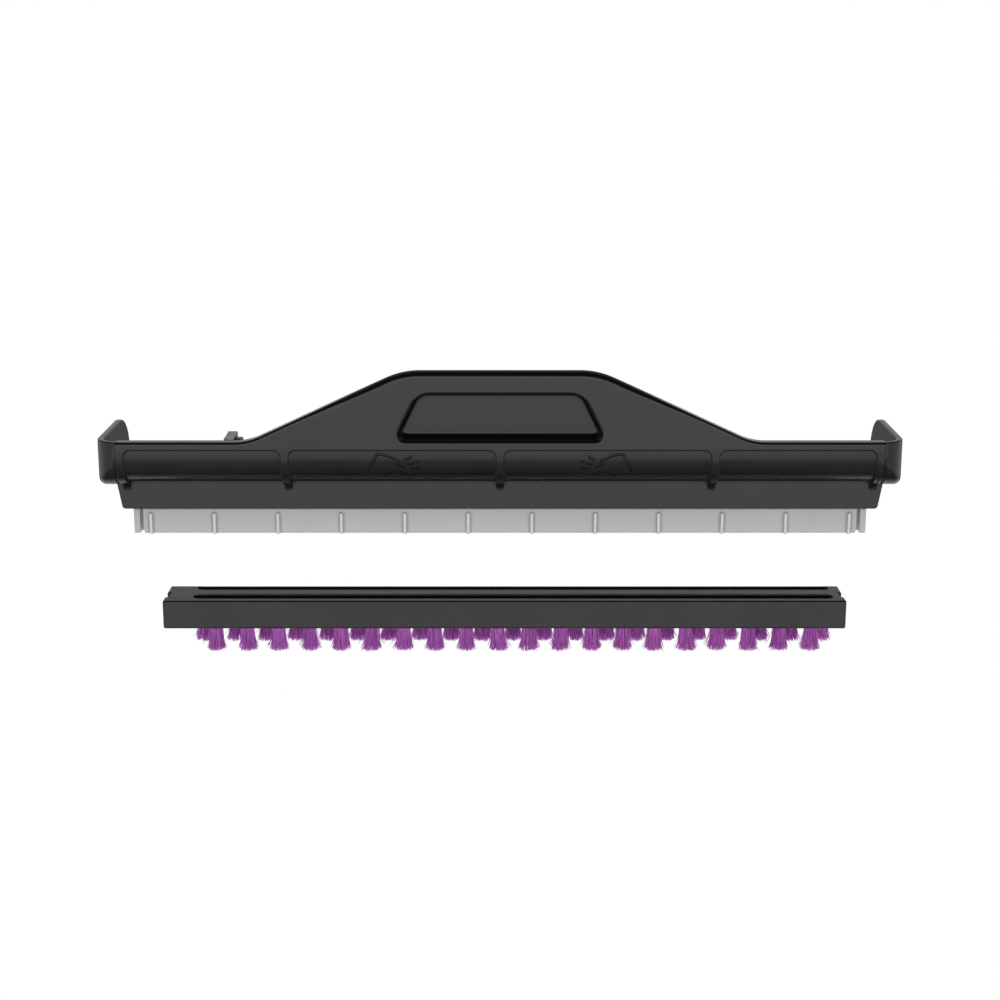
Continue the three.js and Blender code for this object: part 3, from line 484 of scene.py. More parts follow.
def front_blade_field(x, y, z):
    low, high = BLADE_MIN, BLADE_MAX
    foot = low[2] + BLADE_RIB_DROP
    sheet = block(x, y, z, (low[0], high[0]), BLADE_BODY_Y, (foot, high[2]), 0.3)
    across = repeated(x, BLADE_RIB_COUNT, BLADE_RIB_PITCH)
    half = BLADE_RIB_WIDTH / 2
    crown = low[1] + half + 0.15
    rib = np.hypot(across, np.minimum(y - crown, 0)) - half
    rib = np.maximum(rib, y - BLADE_BODY_Y[1] + 0.5)
    taper = (z - BLADE_RIB_TOP_Z) * 0.75 - (y - low[1]) + 0.2
    rib = common(common(rib, span(z, low[2], BLADE_RIB_TOP_Z), 0.5), taper * 0.8, 0.4)
    whole = union(sheet, rib, 0.35)
    slit = np.abs(np.abs(x) - BLADE_SLIT_X) - BLADE_SLIT / 2
    cut = np.minimum(np.maximum(slit, z - BLADE_SLIT_TOP_Z), foot_notch(x, z, foot))
    return without(whole, cut, 0.15)


def brush_base_field(x, y, z):
    low, high = STRIP_MIN, STRIP_MAX
    body = filled(x, y, z, low, high, 0.8)
    for front, back in GROOVES_Y:
        r = (back - front) / 2
        middle = (front + back) / 2
        reach = np.maximum(np.maximum(GROOVE_X[0] + r - x, x - GROOVE_X[1] + r), 0)
        groove = np.hypot(reach, y - middle) - r
        body = without(body, common(groove, high[2] - GROOVE_DEPTH - z, 0.5), 0.3)
    for end in (low[0], high[0]):
        notch = block(x, y, z, (end - NOTCH_DEEP, end + NOTCH_DEEP), NOTCH_Y, (low[2] - 2, high[2] + 2), 0.4)
        body = without(body, notch, 0.35)
    for count, row_y in ((FRONT_TUFTS, FRONT_TUFT_Y), (REAR_TUFTS, REAR_TUFT_Y)):
        hole = np.hypot(repeated(x - PATTERN_X, count, TUFT_PITCH), y - row_y) - TUFT_HOLE_RADIUS
        body = without(body, np.maximum(hole, z - low[2] - TUFT_HOLE_DEPTH), 0.25)
    return body


# ---- From fields to meshes ----------------------------------------------------------------------------


def grid_lines(low, high, places, fine, coarse, reach, growth=0.3):
    """Grid lines from low to high, close together near the places and further apart away from them."""
    lines = [low]
    while lines[-1] < high:
        distance = min(abs(lines[-1] - place) for place in places)
        lines.append(lines[-1] + min(coarse, fine + growth * max(0.0, distance - reach)))
    return np.array(lines)


def slopes(field, points, step=0.01):
    """The field's value and its gradient at each point."""
    here = field(*points.T)
    columns = [(field(*(points + shift).T) - here) / step for shift in np.eye(3) * step]
    return here, np.stack(columns, axis=1)


def settled(field, points, reach, rounds=3):
    """The points, moved onto the surface of the field, no further than reach each time."""
    for _ in range(rounds):
        here, slope = slopes(field, points)
        steep = np.maximum((slope**2).sum(axis=1), 0.05)
        move = -slope * (here / steep)[:, None]
        length = np.linalg.norm(move, axis=1)
        points = points + move * np.minimum(1, reach / np.maximum(length, 1e-9))[:, None]
    return points


def surface(field, lines):
    """Points and quads of the field's zero surface, one point in each grid cell that it passes through."""
    xs, ys, zs = lines
    grid = field(xs[:, None, None], ys[None, :, None], zs[None, None, :])
    cells = tuple(len(axis_lines) - 1 for axis_lines in lines)
    ids, places, quads = [], [], []
    for axis in range(3):
        first = np.take(grid, range(cells[axis]), axis=axis)
        second = np.take(grid, range(1, cells[axis] + 1), axis=axis)
        at = np.argwhere((first < 0) != (second < 0))
        a, b = first[tuple(at.T)], second[tuple(at.T)]
        crossing = np.stack([lines[k][at[:, k]] for k in range(3)], axis=1)
        crossing[:, axis] += a / (a - b) * (lines[axis][at[:, axis] + 1] - lines[axis][at[:, axis]])
        u, v = (axis + 1) % 3, (axis + 2) % 3
        around = []
        for back_u, back_v in ((0, 0), (1, 0), (1, 1), (0, 1)):
            cell = at.copy()
            cell[:, u] -= back_u
            cell[:, v] -= back_v
            around.append(np.ravel_multi_index(tuple(cell.T), cells))
            ids.append(around[-1])
            places.append(crossing)
        quad = np.stack(around, axis=1)
        quads.append(np.where((a < 0)[:, None], quad, quad[:, ::-1]))
    ids = np.concatenate(ids)
    places = np.concatenate(places)
    used, index = np.unique(ids, return_inverse=True)
    count = np.bincount(index)
    points = np.stack([np.bincount(index, places[:, k]) / count for k in range(3)], axis=1)
    quads = np.searchsorted(used, np.concatenate(quads))
    return points, quads


def mesh_object(name, points, faces, normals=None):
    """A mesh object from points in the design frame."""
    mesh = bpy.data.meshes.new(name)
    placed = (np.asarray(points) - ORIGIN) * MM
    mesh.from_pydata(placed.tolist(), [], [list(face) for face in faces])
    mesh.polygons.foreach_set("use_smooth", np.ones(len(mesh.polygons), bool))
    if normals is not None:
        mesh.normals_split_custom_set_from_vertices(normals.tolist())
    mesh.update()
    thing = bpy.data.objects.new(name, mesh)
    bpy.context.scene.collection.objects.link(thing)
    return thing


def moulding(name, field, lines):
    """A finely rounded object from a distance field."""
    points, quads = surface(field, lines)
    points = settled(field, points, reach=0.3)
    normals = slopes(field, points)[1]
    normals /= np.maximum(np.linalg.norm(normals, axis=1), 1e-9)[:, None]
    return mesh_object(name, points, quads, normals)


def stand_for(thing, body, slot, material, *nodes):
    """Puts a finished piece on its body in place of CAD nodes."""
    thing.data.materials.clear()
    thing.data.materials.append(material)
    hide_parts(*nodes)
    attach(thing, body)


# ---- The smaller mouldings ----------------------------------------------------------------------------


def screw_rows(x):
    return repeated(x, SCREW_COUNT, SCREW_PITCH)


def rear_blade_field(x, y, z):
    low, high = design(REAR_LOW), design(REAR_HIGH)
    sheet = filled(x, y, z, low, high, 0.3)
    return without(sheet, foot_notch(x, z, low[2]), 0.15)


def clamp_field(x, y, z):
    low, high = design(CLAMP_LOW), design(CLAMP_HIGH)
    plate = filled(x, y, z, low, high, 0.4)
    widening = np.clip(y - high[1] + SCREW_HEAD, 0, SCREW_HEAD_RADIUS - SCREW_SHANK_RADIUS)
    hole = np.hypot(screw_rows(x), z - SCREW_Z) - SCREW_SHANK_RADIUS - 0.3 - widening
    return without(plate, hole * 0.7, 0.1)


def spacer_field(x, y, z):
    low, high = design(SPACER_LOW), design(SPACER_HIGH)
    plate = filled(x, y, z, low, high, 0.25)
    across = span(repeated(x, SLOT_COUNT, SLOT_PITCH), -SLOT_LENGTH / 2, SLOT_LENGTH / 2)
    return without(plate, np.maximum(across, low[1] + 0.7 - y), 0.2)


def screw_field(x, y, z):
    """A countersunk screw with a cross recess, its axis along Y at X = 0."""
    back = design(CLAMP_HIGH)[1]
    front = SKIRT_Y + WALL - 1.5
    radius = np.hypot(x, z - SCREW_Z)
    shank = common(radius - SCREW_SHANK_RADIUS, front - y, 0.4)
    cone = (radius - SCREW_SHANK_RADIUS - np.maximum(y - back + SCREW_HEAD, 0) * 1.25) * 0.62
    head = np.maximum(common(cone, radius - SCREW_HEAD_RADIUS), back - SCREW_HEAD - y)
    whole = common(union(shank, head, 0.2), y - back, 0.2)
    near, far = np.abs(x), np.abs(z - SCREW_Z)
    half = SCREW_RECESS_WIDTH / 2
    bars = [np.maximum(u - half, v - SCREW_RECESS_REACH) for u, v in ((near, far), (far, near))]
    return without(whole, np.maximum(np.minimum(*bars), back - SCREW_RECESS - y), 0.1)


def lever_field(x, y, z):
    plate = common(span(y, *LEVER_Y), span(z, LEVER_TOP_Z - LEVER_PLATE, LEVER_TOP_Z), 0.6)
    hook = common(span(y, LEVER_Y[1] - LEVER_HOOK_WIDTH, LEVER_Y[1]), span(z, LEVER_HOOK_Z, LEVER_TOP_Z), 0.6)
    hub = about_pivot(y, z) - HUB_RADIUS
    side = union(union(plate, hook, 0.6), hub, 0.6)
    whole = common(side, span(x, *LEVER_X), 0.45)
    return without(whole, about_pivot(y, z) - PIN_RADIUS - PIN_PLAY, 0.2)


def pin_field(x, y, z):
    ends = (LEFT_LUG_X[0] + LUG_END + PIN_PLAY, RIGHT_LUG_X[1] - LUG_END - PIN_PLAY)
    return common(about_pivot(y, z) - PIN_RADIUS, span(x, *ends), 0.25)


def even_grid(low, high, step):
    """Evenly spaced grid lines round a box."""
    return [np.arange(a - 2 * step, b + 3 * step, step) for a, b in zip(low, high)]


def tube(name, path, radius, sides=10):
    """A closed round wire along a path."""
    path = np.array(path)
    ahead = np.gradient(path, axis=0)
    ahead /= np.linalg.norm(ahead, axis=1)[:, None]
    side = np.cross(ahead, (0.0, 0.0, 1.0))
    side /= np.linalg.norm(side, axis=1)[:, None]
    up = np.cross(side, ahead)
    angles = np.arange(sides) * 2 * math.pi / sides
    rings = path[:, None] + radius * (
        np.cos(angles)[None, :, None] * side[:, None] + np.sin(angles)[None, :, None] * up[:, None]
    )
    faces = []
    for i in range(len(path) - 1):
        for k in range(sides):
            n = (k + 1) % sides
            faces.append((i * sides + k, i * sides + n, (i + 1) * sides + n, (i + 1) * sides + k))
    faces.append(tuple(reversed(range(sides))))
    faces.append(tuple((len(path) - 1) * sides + k for k in range(sides)))
    return mesh_object(name, rings.reshape(-1, 3), faces)


def spring_path():
    """A coil with flat turns at each end, from its seat up to the lever."""
    bottom = SPRING_SEAT_Z + SPRING_GAP + SPRING_WIRE
    top = LEVER_TOP_Z - LEVER_PLATE - SPRING_GAP - SPRING_WIRE
    closed = 0.75  # turns at each end that lie flat
    pitch = 2.2 * SPRING_WIRE  # between flat turns
    turns = SPRING_TURNS + 2 * closed
    for i in range(int(turns * 24) + 1):
        turn = i / 24
        climbed = min(max(turn - closed, 0), SPRING_TURNS) / SPRING_TURNS
        flat = pitch * (min(turn, closed) + max(turn - closed - SPRING_TURNS, 0)) / closed
        z = bottom + flat + climbed * (top - bottom - 2 * pitch)
        angle = 2 * math.pi * turn
        yield (LEVER_MIDDLE + SPRING_RADIUS * math.cos(angle), SPRING_Y + SPRING_RADIUS * math.sin(angle), z)


# ---- Bristles -----------------------------------------------------------------------------------------

ROOT_Z = STRIP_MIN[2] + TUFT_HOLE_DEPTH
TIP_Z = -74.7
FILAMENTS = 300
FILAMENT_RADIUS = (0.12, 0.17)
ROOT_REACH = 2.75
TIP_REACH = (3.7, 4.3)
FLARE = 2.8  # the higher, the nearer to the tip a tuft opens
STRAYS = 0.1  # the share of filaments that stand out
RINGS = 6
SIDES = 3


def tuft(name, x, y, random):
    """One bundle of separate filaments, gathered at the root and ragged at the tip."""
    reach = np.sqrt(random.random(FILAMENTS))
    angle = random.random(FILAMENTS) * 2 * math.pi
    outward = np.stack([np.cos(angle), np.sin(angle)], axis=1)
    root = outward * (reach * ROOT_REACH)[:, None]
    lean = random.normal(0, 0.25, 2)
    tip = outward * (reach * random.uniform(*TIP_REACH))[:, None]
    tip = tip + random.normal(0, 0.5, (FILAMENTS, 2)) + lean
    stray = random.random(FILAMENTS) < STRAYS
    tip[stray] *= 1.4
    end = TIP_Z + np.minimum(np.abs(random.normal(0, 0.55, FILAMENTS)) + 0.35 * reach**3, 3.0)
    end[stray] += random.random(stray.sum()) * 2.5
    bend = random.normal(0, 0.22, (FILAMENTS, 2))

    t = np.linspace(0, 1, RINGS)[None, :, None]
    across = root[:, None] + (tip - root)[:, None] * t**FLARE + bend[:, None] * np.sin(math.pi * t)
    height = ROOT_Z + (end[:, None, None] - ROOT_Z) * t
    path = np.concatenate([across, height], axis=2) + (x, y, 0)
    radius = random.uniform(*FILAMENT_RADIUS, FILAMENTS)[:, None, None, None] * (1 - 0.35 * t[..., None] ** 3)
    turn = random.random(FILAMENTS)[:, None] + np.arange(SIDES)[None] * 2 * math.pi / SIDES
    ring = np.stack([np.cos(turn), np.sin(turn), np.zeros_like(turn)], axis=2)
    points = path[:, :, None] + ring[:, None] * radius

    first = (np.arange(FILAMENTS) * RINGS * SIDES)[:, None, None, None]
    level = (np.arange(RINGS - 1) * SIDES)[None, :, None, None]
    side = np.array([(k, k + SIDES, (k + 1) % SIDES + SIDES, (k + 1) % SIDES) for k in range(SIDES)])
    quads = (first + level + side[None, None]).reshape(-1, 4)
    root_caps = first[:, 0, 0] + np.arange(SIDES)[None]
    tip_caps = first[:, 0, 0] + (RINGS - 1) * SIDES + np.arange(SIDES)[None, ::-1]
    faces = quads.tolist() + root_caps.tolist() + tip_caps.tolist()
    return mesh_object(name, points.reshape(-1, 3), faces)


# ---- Materials ----------------------------------------------------------------------------------------


def add(tree, kind, inputs=None, **settings):
    """A shader node with its settings, and its inputs set or linked."""
    made = tree.nodes.new(kind)
    for key, value in settings.items():
        setattr(made, key, value)
    for key, value in (inputs or {}).items():
        if isinstance(value, bpy.types.NodeSocket):
            tree.links.new(value, made.inputs[key])
        else:
            made.inputs[key].default_value = value
    return made


def noise(tree, where, scale, detail=2.0, roughness=0.5):
    inputs = {"Vector": where, "Scale": scale, "Detail": detail, "Roughness": roughness}
    return add(tree, "ShaderNodeTexNoise", inputs).outputs["Fac"]


def rise(tree, value, start, end):
    """A smooth step from 0 to 1 as the value goes from start to end."""
    inputs = {"Value": value, "From Min": start, "From Max": end}
    return add(tree, "ShaderNodeMapRange", inputs, interpolation_type="SMOOTHSTEP").outputs["Result"]


def worked(tree, operation, *values):
    return add(tree, "ShaderNodeMath", dict(enumerate(values)), operation=operation).outputs[0]


def times(tree, a, b):
    return worked(tree, "MULTIPLY", a, b)


def plus(tree, a, b):
    return worked(tree, "ADD", a, b)


def scaled(tree, value, from_low, from_high, low, high):
    inputs = {"Value": value, "From Min": from_low, "From Max": from_high, "To Min": low, "To Max": high}
    return add(tree, "ShaderNodeMapRange", inputs).outputs["Result"]


def mixed(tree, fac, first, second):
    """A colour from the first, where fac is 0, to the second. Each is a socket or three numbers."""
    ends = [(*colour, 1) if isinstance(colour, tuple) else colour for colour in (first, second)]
    inputs = {"Factor": fac, "A": ends[0], "B": ends[1]}
    return add(tree, "ShaderNodeMix", inputs, data_type="RGBA").outputs["Result"]


def openness(tree, distance, power):
    """1 in the open, falling towards 0 in a corner or crease; the mask for painted shade."""
    made = add(tree, "ShaderNodeAmbientOcclusion", {"Distance": distance}, samples=8)
    return worked(tree, "POWER", made.outputs["AO"], power)


def bumped(tree, shader, height, strength, distance=0.0001):
    bump = add(tree, "ShaderNodeBump", {"Strength": strength, "Distance": distance, "Height": height})
    tree.links.new(bump.outputs["Normal"], shader.inputs["Normal"])


def new_material(name):
    material = bpy.data.materials.new(name)
    material.use_nodes = True
    tree = material.node_tree
    shader = tree.nodes["Principled BSDF"]
    where = add(tree, "ShaderNodeTexCoord").outputs["Object"]
    return material, tree, shader, where


def moulded(name, dark, light, rough, grain):
    """Injection-moulded plastic: fine grain, slow flow marks and faint scuffs; edges made lighter, partly as
    wear and partly as a painted highlight; creases, corners and faces turned downwards darkened with painted
    shade and made duller.
    """
    material, tree, shader, where = new_material(name)
    flow = noise(tree, where, 38.0, 3.0)
    mottle = times(tree, flow, noise(tree, where, 900.0, 2.0))
    geometry = add(tree, "ShaderNodeNewGeometry")
    # Convex edges lighter: partly wear, partly a painted edge highlight.
    edge_wear_and_highlight = scaled(tree, geometry.outputs["Pointiness"], 0.53, 0.62, 0.0, 0.35)
    tone = plus(tree, scaled(tree, mottle, 0.12, 0.4, 0.0, 1.0), edge_wear_and_highlight)
    # Painted shade: colour darkened on faces turned downwards near other surfaces, and in creases and
    # corners.
    normal = add(tree, "ShaderNodeSeparateXYZ", {"Vector": geometry.outputs["Normal"]})
    under = scaled(tree, normal.outputs["Z"], -0.5, -0.9, 0.0, 1.0)
    painted_underside_shade = scaled(tree, under, 0.0, 1.0, 1.0, openness(tree, 0.012, 4.0))
    crease = times(tree, openness(tree, 0.003, 2.0), painted_underside_shade)
    # The colour darkened towards black by the painted shade.
    colour = mixed(tree, crease, (0, 0, 0), mixed(tree, tone, dark, light))
    tree.links.new(colour, shader.inputs["Base Color"])

    stretch = {"Vector": where, "Scale": (40.0, 260.0, 700.0)}
    stretched = add(tree, "ShaderNodeMapping", stretch).outputs["Vector"]
    gloss = times(tree, noise(tree, stretched, 1.0, 4.0, 0.6), flow)
    polish = scaled(tree, gloss, 0.1, 0.45, rough - 0.05, rough + 0.07)
    tree.links.new(scaled(tree, crease, 0.0, 0.7, 0.7, polish), shader.inputs["Roughness"])

    texture = times(tree, noise(tree, where, 2600.0, 3.0, 0.6), 0.5)
    bumped(tree, shader, plus(tree, texture, flow), grain)
    shader.inputs["IOR"].default_value = 1.5
    return material


def pale_rubber():
    """Soft rubber: darker towards the top of the sheet, under the skirt, and in the hollows beside the ribs
    with painted shade, and lighter on the rib crowns with a painted highlight.
    """
    material, tree, shader, where = new_material("pale_rubber")
    cloud = noise(tree, where, 55.0, 4.0)
    place = add(tree, "ShaderNodeSeparateXYZ", {"Vector": where})
    low, high = ((z - ORIGIN[2]) * MM for z in (BLADE_MIN[2], SKIRT_BOTTOM_Z))
    # Painted shade: the sheet darker towards its top, under the skirt, and lighter towards its foot; the
    # cloud varies it at random.
    down = scaled(tree, place.outputs["Z"], high, low, 0.1, 0.75)
    mottle = plus(tree, down, scaled(tree, cloud, 0.35, 0.65, -0.08, 0.08))
    sheet = mixed(tree, mottle, (0.49, 0.49, 0.492), (0.68, 0.68, 0.682))
    # Painted shade in the hollows beside the ribs.
    sheet = mixed(tree, openness(tree, 0.0015, 1.6), (0, 0, 0), sheet)
    # Painted highlight: the rib crowns lighter where they stand out from the sheet.
    crest, root = ((y - ORIGIN[1]) * MM for y in (BLADE_MIN[1] + 0.5, BLADE_BODY_Y[0] - 0.15))
    rib_crown_highlight = scaled(tree, place.outputs["Y"], root, crest, 0.0, 1.0)
    tree.links.new(mixed(tree, rib_crown_highlight, sheet, (0.86, 0.86, 0.862)), shader.inputs["Base Color"])
    tree.links.new(scaled(tree, cloud, 0.3, 0.7, 0.42, 0.55), shader.inputs["Roughness"])
    bumped(tree, shader, noise(tree, where, 1500.0, 3.0, 0.6), 0.2)
    shader.inputs["IOR"].default_value = 1.45
    return material


def steel():
    """Bright wire and screws, drawn along X."""
    material, tree, shader, where = new_material("bright_steel")
    stretch = {"Vector": where, "Scale": (300.0, 2500.0, 2500.0)}
    brushed = noise(tree, add(tree, "ShaderNodeMapping", stretch).outputs["Vector"], 1.0, 3.0)
    colour = mixed(tree, brushed, (0.42, 0.42, 0.43), (0.6, 0.6, 0.61))
    tree.links.new(colour, shader.inputs["Base Color"])
    tree.links.new(scaled(tree, brushed, 0.3, 0.7, 0.2, 0.38), shader.inputs["Roughness"])
    bumped(tree, shader, brushed, 0.15)
    shader.inputs["Metallic"].default_value = 1.0
    return material


def bristle():
    """Nylon filament: each one a little different."""
    material, tree, shader, where = new_material("purple_bristle")
    each = add(tree, "ShaderNodeNewGeometry").outputs["Random Per Island"]
    tree.links.new(mixed(tree, each, (0.52, 0.1, 0.58), (0.9, 0.27, 0.94)), shader.inputs["Base Color"])
    along = noise(tree, where, 700.0, 2.0)
    tree.links.new(scaled(tree, along, 0.3, 0.7, 0.34, 0.5), shader.inputs["Roughness"])
    bumped(tree, shader, along, 0.15, 0.00005)
    shader.inputs["IOR"].default_value = 1.5
    return material


# ---- Building the object ------------------------------------------------------------------------------

BLACK = moulded("black_plastic", (0.0075, 0.0075, 0.0078), (0.012, 0.012, 0.0123), 0.19, 0.2)
DARK = moulded("dark_plastic", (0.008, 0.008, 0.0083), (0.013, 0.013, 0.0133), 0.24, 0.25)
GREY = moulded("grey_plastic", (0.66, 0.66, 0.665), (0.78, 0.78, 0.785), 0.42, 0.3)
RUBBER = pale_rubber()
STEEL = steel()
BRISTLE = bristle()

DETAIL = 1.0


def both_sides(*places):
    return [side * place for side in (-1, 1) for place in places]


def frame_grid():
    """Fine at the ribs, the sign, the catch, the strip's fingers and the arms, and at every rounding."""
    sign = np.arange(33, 56, 3.5)
    ribs = (0.8, RIB_X - 1.5, RIB_X + 1.5)
    across = both_sides(*ribs, *sign, 107, 110, 114, 118, 146, 154.5, 157.6, 161, 166)
    along = (0, 3, 7, 10, 16.2, 20.6, 31, 34, 44.5, 51, 64)
    up = (-7, -2, 1.6, 5, 7.5, 10, 12.5, 15, 17.5, 20, 22, 24.4, 44, 52.3)
    xs = grid_lines(-168.0, 168.0, across, 0.34 * DETAIL, 2.2 * DETAIL, 2.0)
    ys = grid_lines(-1.0, 65.5, along, 0.32 * DETAIL, 1.6 * DETAIL, 1.2)
    zs = grid_lines(-9.0, 55.0, up, 0.34 * DETAIL, 1.1 * DETAIL, 1.4)
    return xs, ys, zs


def along_grid(low, high, places, step):
    """A grid for a long thin piece: fine across it, and fine along it only at the places."""
    fine = even_grid(low, high, step)
    xs = grid_lines(low[0] - 1, high[0] + 1, places, step, 6.0, 1.5)
    return xs, fine[1], fine[2]


def spread(count, pitch, half=0.0, middle=0.0):
    """The two sides of every one of several evenly spaced places."""
    centres = [middle + (i - (count - 1) / 2) * pitch for i in range(count)]
    return sorted({c + side * half for c in centres for side in (-1, 1)})


def build_frame():
    shell = moulding("frame_moulding", frame_field, frame_grid())
    stand_for(shell, "frame", "black_plastic", BLACK, "frame_shell")

    slits = both_sides(BLADE_SLIT_X - 0.6, BLADE_SLIT_X + 0.6, BLADE_MAX[0])
    places = slits + spread(BLADE_RIB_COUNT, BLADE_RIB_PITCH)
    grid = along_grid(BLADE_MIN, BLADE_MAX, places, 0.22 * DETAIL)
    blade = moulding("front_blade", front_blade_field, grid)
    stand_for(blade, "frame", "pale_rubber", RUBBER, "front_squeegee")

    low, high = design(REAR_LOW), design(REAR_HIGH)
    grid = along_grid(low, high, both_sides(high[0], BLADE_NOTCH_X + 0.7), 0.25 * DETAIL)
    stand_for(moulding("rear_blade", rear_blade_field, grid), "frame", "pale_rubber", RUBBER, "rear_squeegee")

    low, high = design(SPACER_LOW), design(SPACER_HIGH)
    places = spread(SLOT_COUNT, SLOT_PITCH, SLOT_LENGTH / 2) + both_sides(high[0])
    grid = along_grid(low, high, places, 0.3 * DETAIL)
    stand_for(moulding("blade_spacer", spacer_field, grid), "frame", "dark_plastic", DARK, "squeegee_spacer")

    low, high = design(CLAMP_LOW), design(CLAMP_HIGH)
    places = spread(SCREW_COUNT, SCREW_PITCH, 1.6) + both_sides(high[0])
    grid = along_grid(low, high, places, 0.25 * DETAIL)
    stand_for(moulding("blade_clamp", clamp_field, grid), "frame", "dark_plastic", DARK, "squeegee_clamp")

    grid = even_grid((-2.6, SKIRT_Y + 1, SCREW_Z - 2.6), (2.6, high[1], SCREW_Z + 2.6), 0.14 * DETAIL)
    pattern = moulding("screw_1", screw_field, grid)
    for i in range(SCREW_COUNT):
        screw = pattern if i == 0 else bpy.data.objects.new(f"screw_{i + 1}", pattern.data)
        if i:
            bpy.context.scene.collection.objects.link(screw)
        screw.location.x = (i - (SCREW_COUNT - 1) / 2) * SCREW_PITCH * MM
        stand_for(screw, "frame", "steel", STEEL, f"clamp_screw_{i + 1}")


def build_catch():
    low = (LEVER_X[0], LEVER_Y[0], LEVER_HOOK_Z)
    high = (LEVER_X[1], LEVER_Y[1], LEVER_TOP_Z)
    grid = even_grid(low, high, 0.18 * DETAIL)
    stand_for(moulding("catch_lever", lever_field, grid), "latch", "grey_plastic", GREY, "latch_lever")
    low = (LEFT_LUG_X[0], PIVOT_Y - PIN_RADIUS, PIVOT_Z - PIN_RADIUS)
    high = (RIGHT_LUG_X[1], PIVOT_Y + PIN_RADIUS, PIVOT_Z + PIN_RADIUS)
    pin = moulding("catch_pin", pin_field, even_grid(low, high, 0.18))
    stand_for(pin, "frame", "steel", STEEL, "latch_pin")
    spring = tube("catch_spring", list(spring_path()), SPRING_WIRE)
    stand_for(spring, "frame", "steel", STEEL, "latch_spring")
    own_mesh(spring)


def build_strip():
    low, high = STRIP_MIN, STRIP_MAX
    places = [low[0], high[0], GROOVE_X[0] + 1.5, GROOVE_X[1] - 1.5]
    for count in (REAR_TUFTS, FRONT_TUFTS):
        places += spread(count, TUFT_PITCH, 3.0, PATTERN_X)
    xs = grid_lines(low[0] - 1, high[0] + 1, places, 0.35 * DETAIL, 2.5, 1.5)
    walls = [low[1], *GROOVES_Y[0], *GROOVES_Y[1]]
    ys = grid_lines(low[1] - 1, high[1] + 1, walls, 0.28 * DETAIL, 0.9, 0.8)
    levels = [low[2], high[2] - GROOVE_DEPTH, high[2]]
    zs = grid_lines(low[2] - 1, high[2] + 1, levels, 0.28 * DETAIL, 1.2, 0.8)
    strip = moulding("strip_moulding", brush_base_field, (xs, ys, zs))
    stand_for(strip, "brush_strip", "dark_plastic", DARK, "brush_base")

    random = np.random.default_rng(7)
    for row, count, y in (("front", FRONT_TUFTS, FRONT_TUFT_Y), ("rear", REAR_TUFTS, REAR_TUFT_Y)):
        for i in range(count):
            x = PATTERN_X + (i - (count - 1) / 2) * TUFT_PITCH
            number = f"{i + 1:02d}"
            thing = tuft(f"bristles_{row}_{number}", x, y, random)
            stand_for(thing, "brush_strip", "purple_bristle", BRISTLE, f"tuft_{row}_{number}")


build_frame()
build_catch()
build_strip()

# ---- Studio -------------------------------------------------------------------------------------------

CAMERA_PITCH = math.radians(14)
CAMERA_DISTANCE = 0.7809
CAMERA_LENS = 68.4
SENSOR_WIDTH = 36.0
FLOOR_Z_M = -0.62

# Strengths of the light. A band is the heights, in degrees, where it starts, is full, is last full and ends.
FRONT_LIGHT = 0.72
FRONT_PEAK = 0.7
FRONT_SPREAD = (28, 50)  # degrees to each side: full, and gone
FLOOR_LIGHT = 0.35
FLOOR_DARK = 0.08  # from straight below
BACK_LIGHT = 0.6
BACK_BAND = (-6, 4, 4, 26)
SIDE_LIGHT = 0.38
SIDE_BAND = (-45, -15, 10, 35)
HIGH_LIGHT = 0.4
HIGH_BAND = (30, 44, 65, 85)
LOW_LIGHT = 0.7
LOW_BAND = (-85, -65, -36, -22)


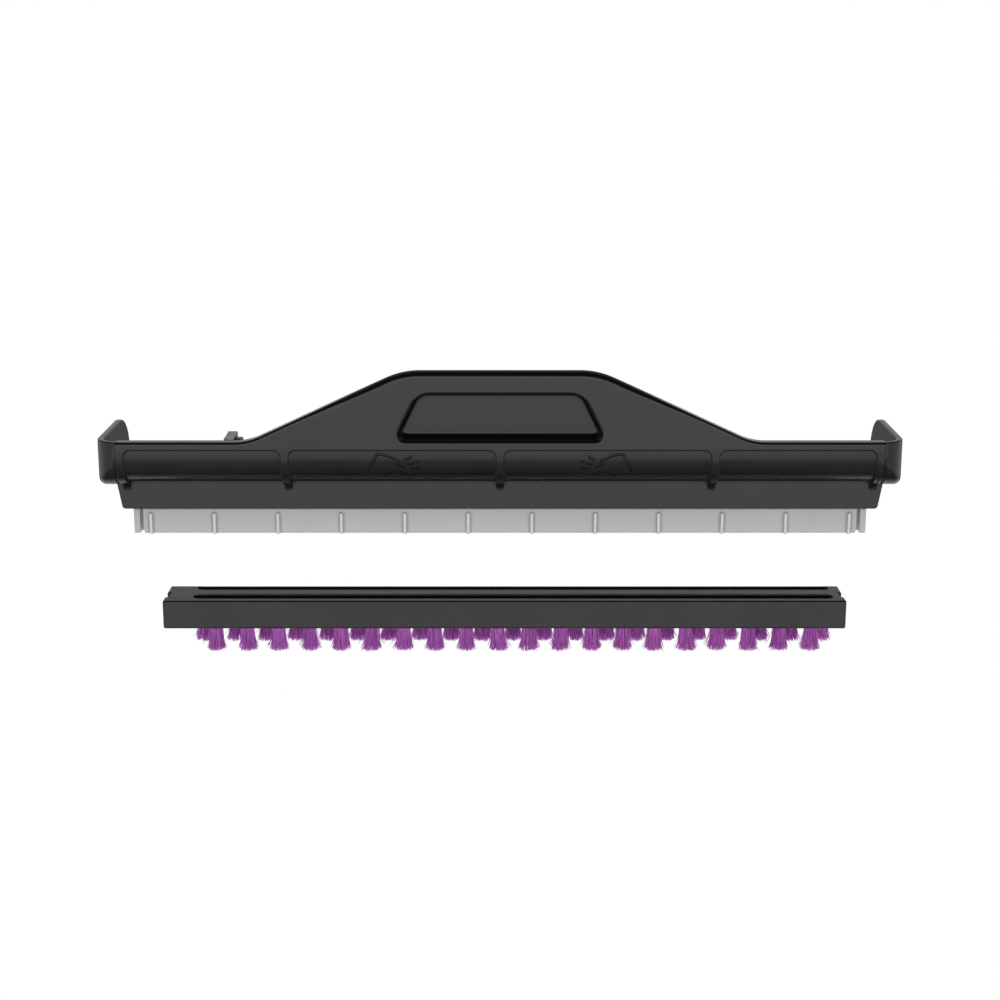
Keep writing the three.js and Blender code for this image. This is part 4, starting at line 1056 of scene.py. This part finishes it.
def soft_light():
    """A wide soft source in front, weaker ones behind and a little light from the sides."""
    world = bpy.data.worlds.new("studio")
    bpy.context.scene.world = world
    world.use_nodes = True
    tree = world.node_tree
    tree.nodes.clear()
    direction = add(tree, "ShaderNodeTexCoord").outputs["Generated"]
    parts = add(tree, "ShaderNodeSeparateXYZ", {"Vector": direction})
    up = parts.outputs["Z"]
    height = worked(tree, "ARCSINE", up)
    level = worked(tree, "SQRT", worked(tree, "MULTIPLY_ADD", times(tree, up, up), -1.0, 1.0001))
    ahead = worked(tree, "DIVIDE", parts.outputs["Y"], level)
    beside = worked(tree, "ABSOLUTE", ahead)

    def from_height(low, high):
        return rise(tree, height, math.radians(low), math.radians(high))

    def band(start, full, last, end):
        return times(tree, from_height(start, full), from_height(end, last))

    below = plus(tree, times(tree, from_height(-90, -50), FLOOR_LIGHT - FLOOR_DARK), FLOOR_DARK)
    below = times(tree, below, plus(tree, times(tree, rise(tree, ahead, 0.95, 0.5), 0.5), 0.5))
    body = times(tree, from_height(-46, -29), FRONT_LIGHT)
    peak = times(tree, from_height(-24, 6), FRONT_PEAK)
    full, gone = (-math.cos(math.radians(angle)) for angle in FRONT_SPREAD)
    front = times(tree, plus(tree, body, peak), rise(tree, ahead, gone, full))
    front = times(tree, plus(tree, front, below), from_height(29, 16))
    back = times(tree, times(tree, band(*BACK_BAND), BACK_LIGHT), rise(tree, ahead, 0.3, 0.9))
    high = times(tree, band(*HIGH_BAND), HIGH_LIGHT)
    low = times(tree, band(*LOW_BAND), LOW_LIGHT)
    back = plus(tree, back, times(tree, plus(tree, high, low), rise(tree, ahead, 0.2, 0.8)))
    sides = times(tree, times(tree, band(*SIDE_BAND), SIDE_LIGHT), rise(tree, beside, 0.95, 0.5))
    total = plus(tree, plus(tree, front, back), sides)
    lit = add(tree, "ShaderNodeBackground", {"Color": (1, 1, 1, 1), "Strength": total})
    white = add(tree, "ShaderNodeBackground", {"Color": (1, 1, 1, 1), "Strength": 1.0})
    seen = add(tree, "ShaderNodeLightPath").outputs["Is Camera Ray"]
    chosen = add(tree, "ShaderNodeMixShader", {0: seen, 1: lit.outputs[0], 2: white.outputs[0]})
    add(tree, "ShaderNodeOutputWorld", {"Surface": chosen.outputs[0]})


def pale_floor():
    """A white sheet far below, which throws no light on the object."""
    bpy.ops.mesh.primitive_plane_add(size=12, location=(0, 0, FLOOR_Z_M))
    floor = bpy.context.object
    floor.name = "floor"
    material = bpy.data.materials.new("pale_floor")
    material.use_nodes = True
    tree = material.node_tree
    tree.nodes.clear()
    glow = add(tree, "ShaderNodeEmission", {"Color": (1, 1, 1, 1), "Strength": 1.0})
    add(tree, "ShaderNodeOutputMaterial", {"Surface": glow.outputs[0]})
    floor.data.materials.append(material)
    floor.visible_diffuse = False
    floor.visible_glossy = False


def camera():
    """Looks down at the design frame's zero, from in front."""
    aim = Vector((0, -ORIGIN[1] * MM, -ORIGIN[2] * MM))
    back = Vector((0, -math.cos(CAMERA_PITCH), math.sin(CAMERA_PITCH)))
    data = bpy.data.cameras.new("camera")
    data.lens = CAMERA_LENS
    data.sensor_width = SENSOR_WIDTH
    thing = bpy.data.objects.new("camera", data)
    thing.location = aim + CAMERA_DISTANCE * back
    thing.rotation_euler = (math.pi / 2 - CAMERA_PITCH, 0, 0)
    bpy.context.scene.collection.objects.link(thing)
    bpy.context.scene.camera = thing


soft_light()
pale_floor()
camera()
bpy.context.scene.view_settings.view_transform = "Standard"
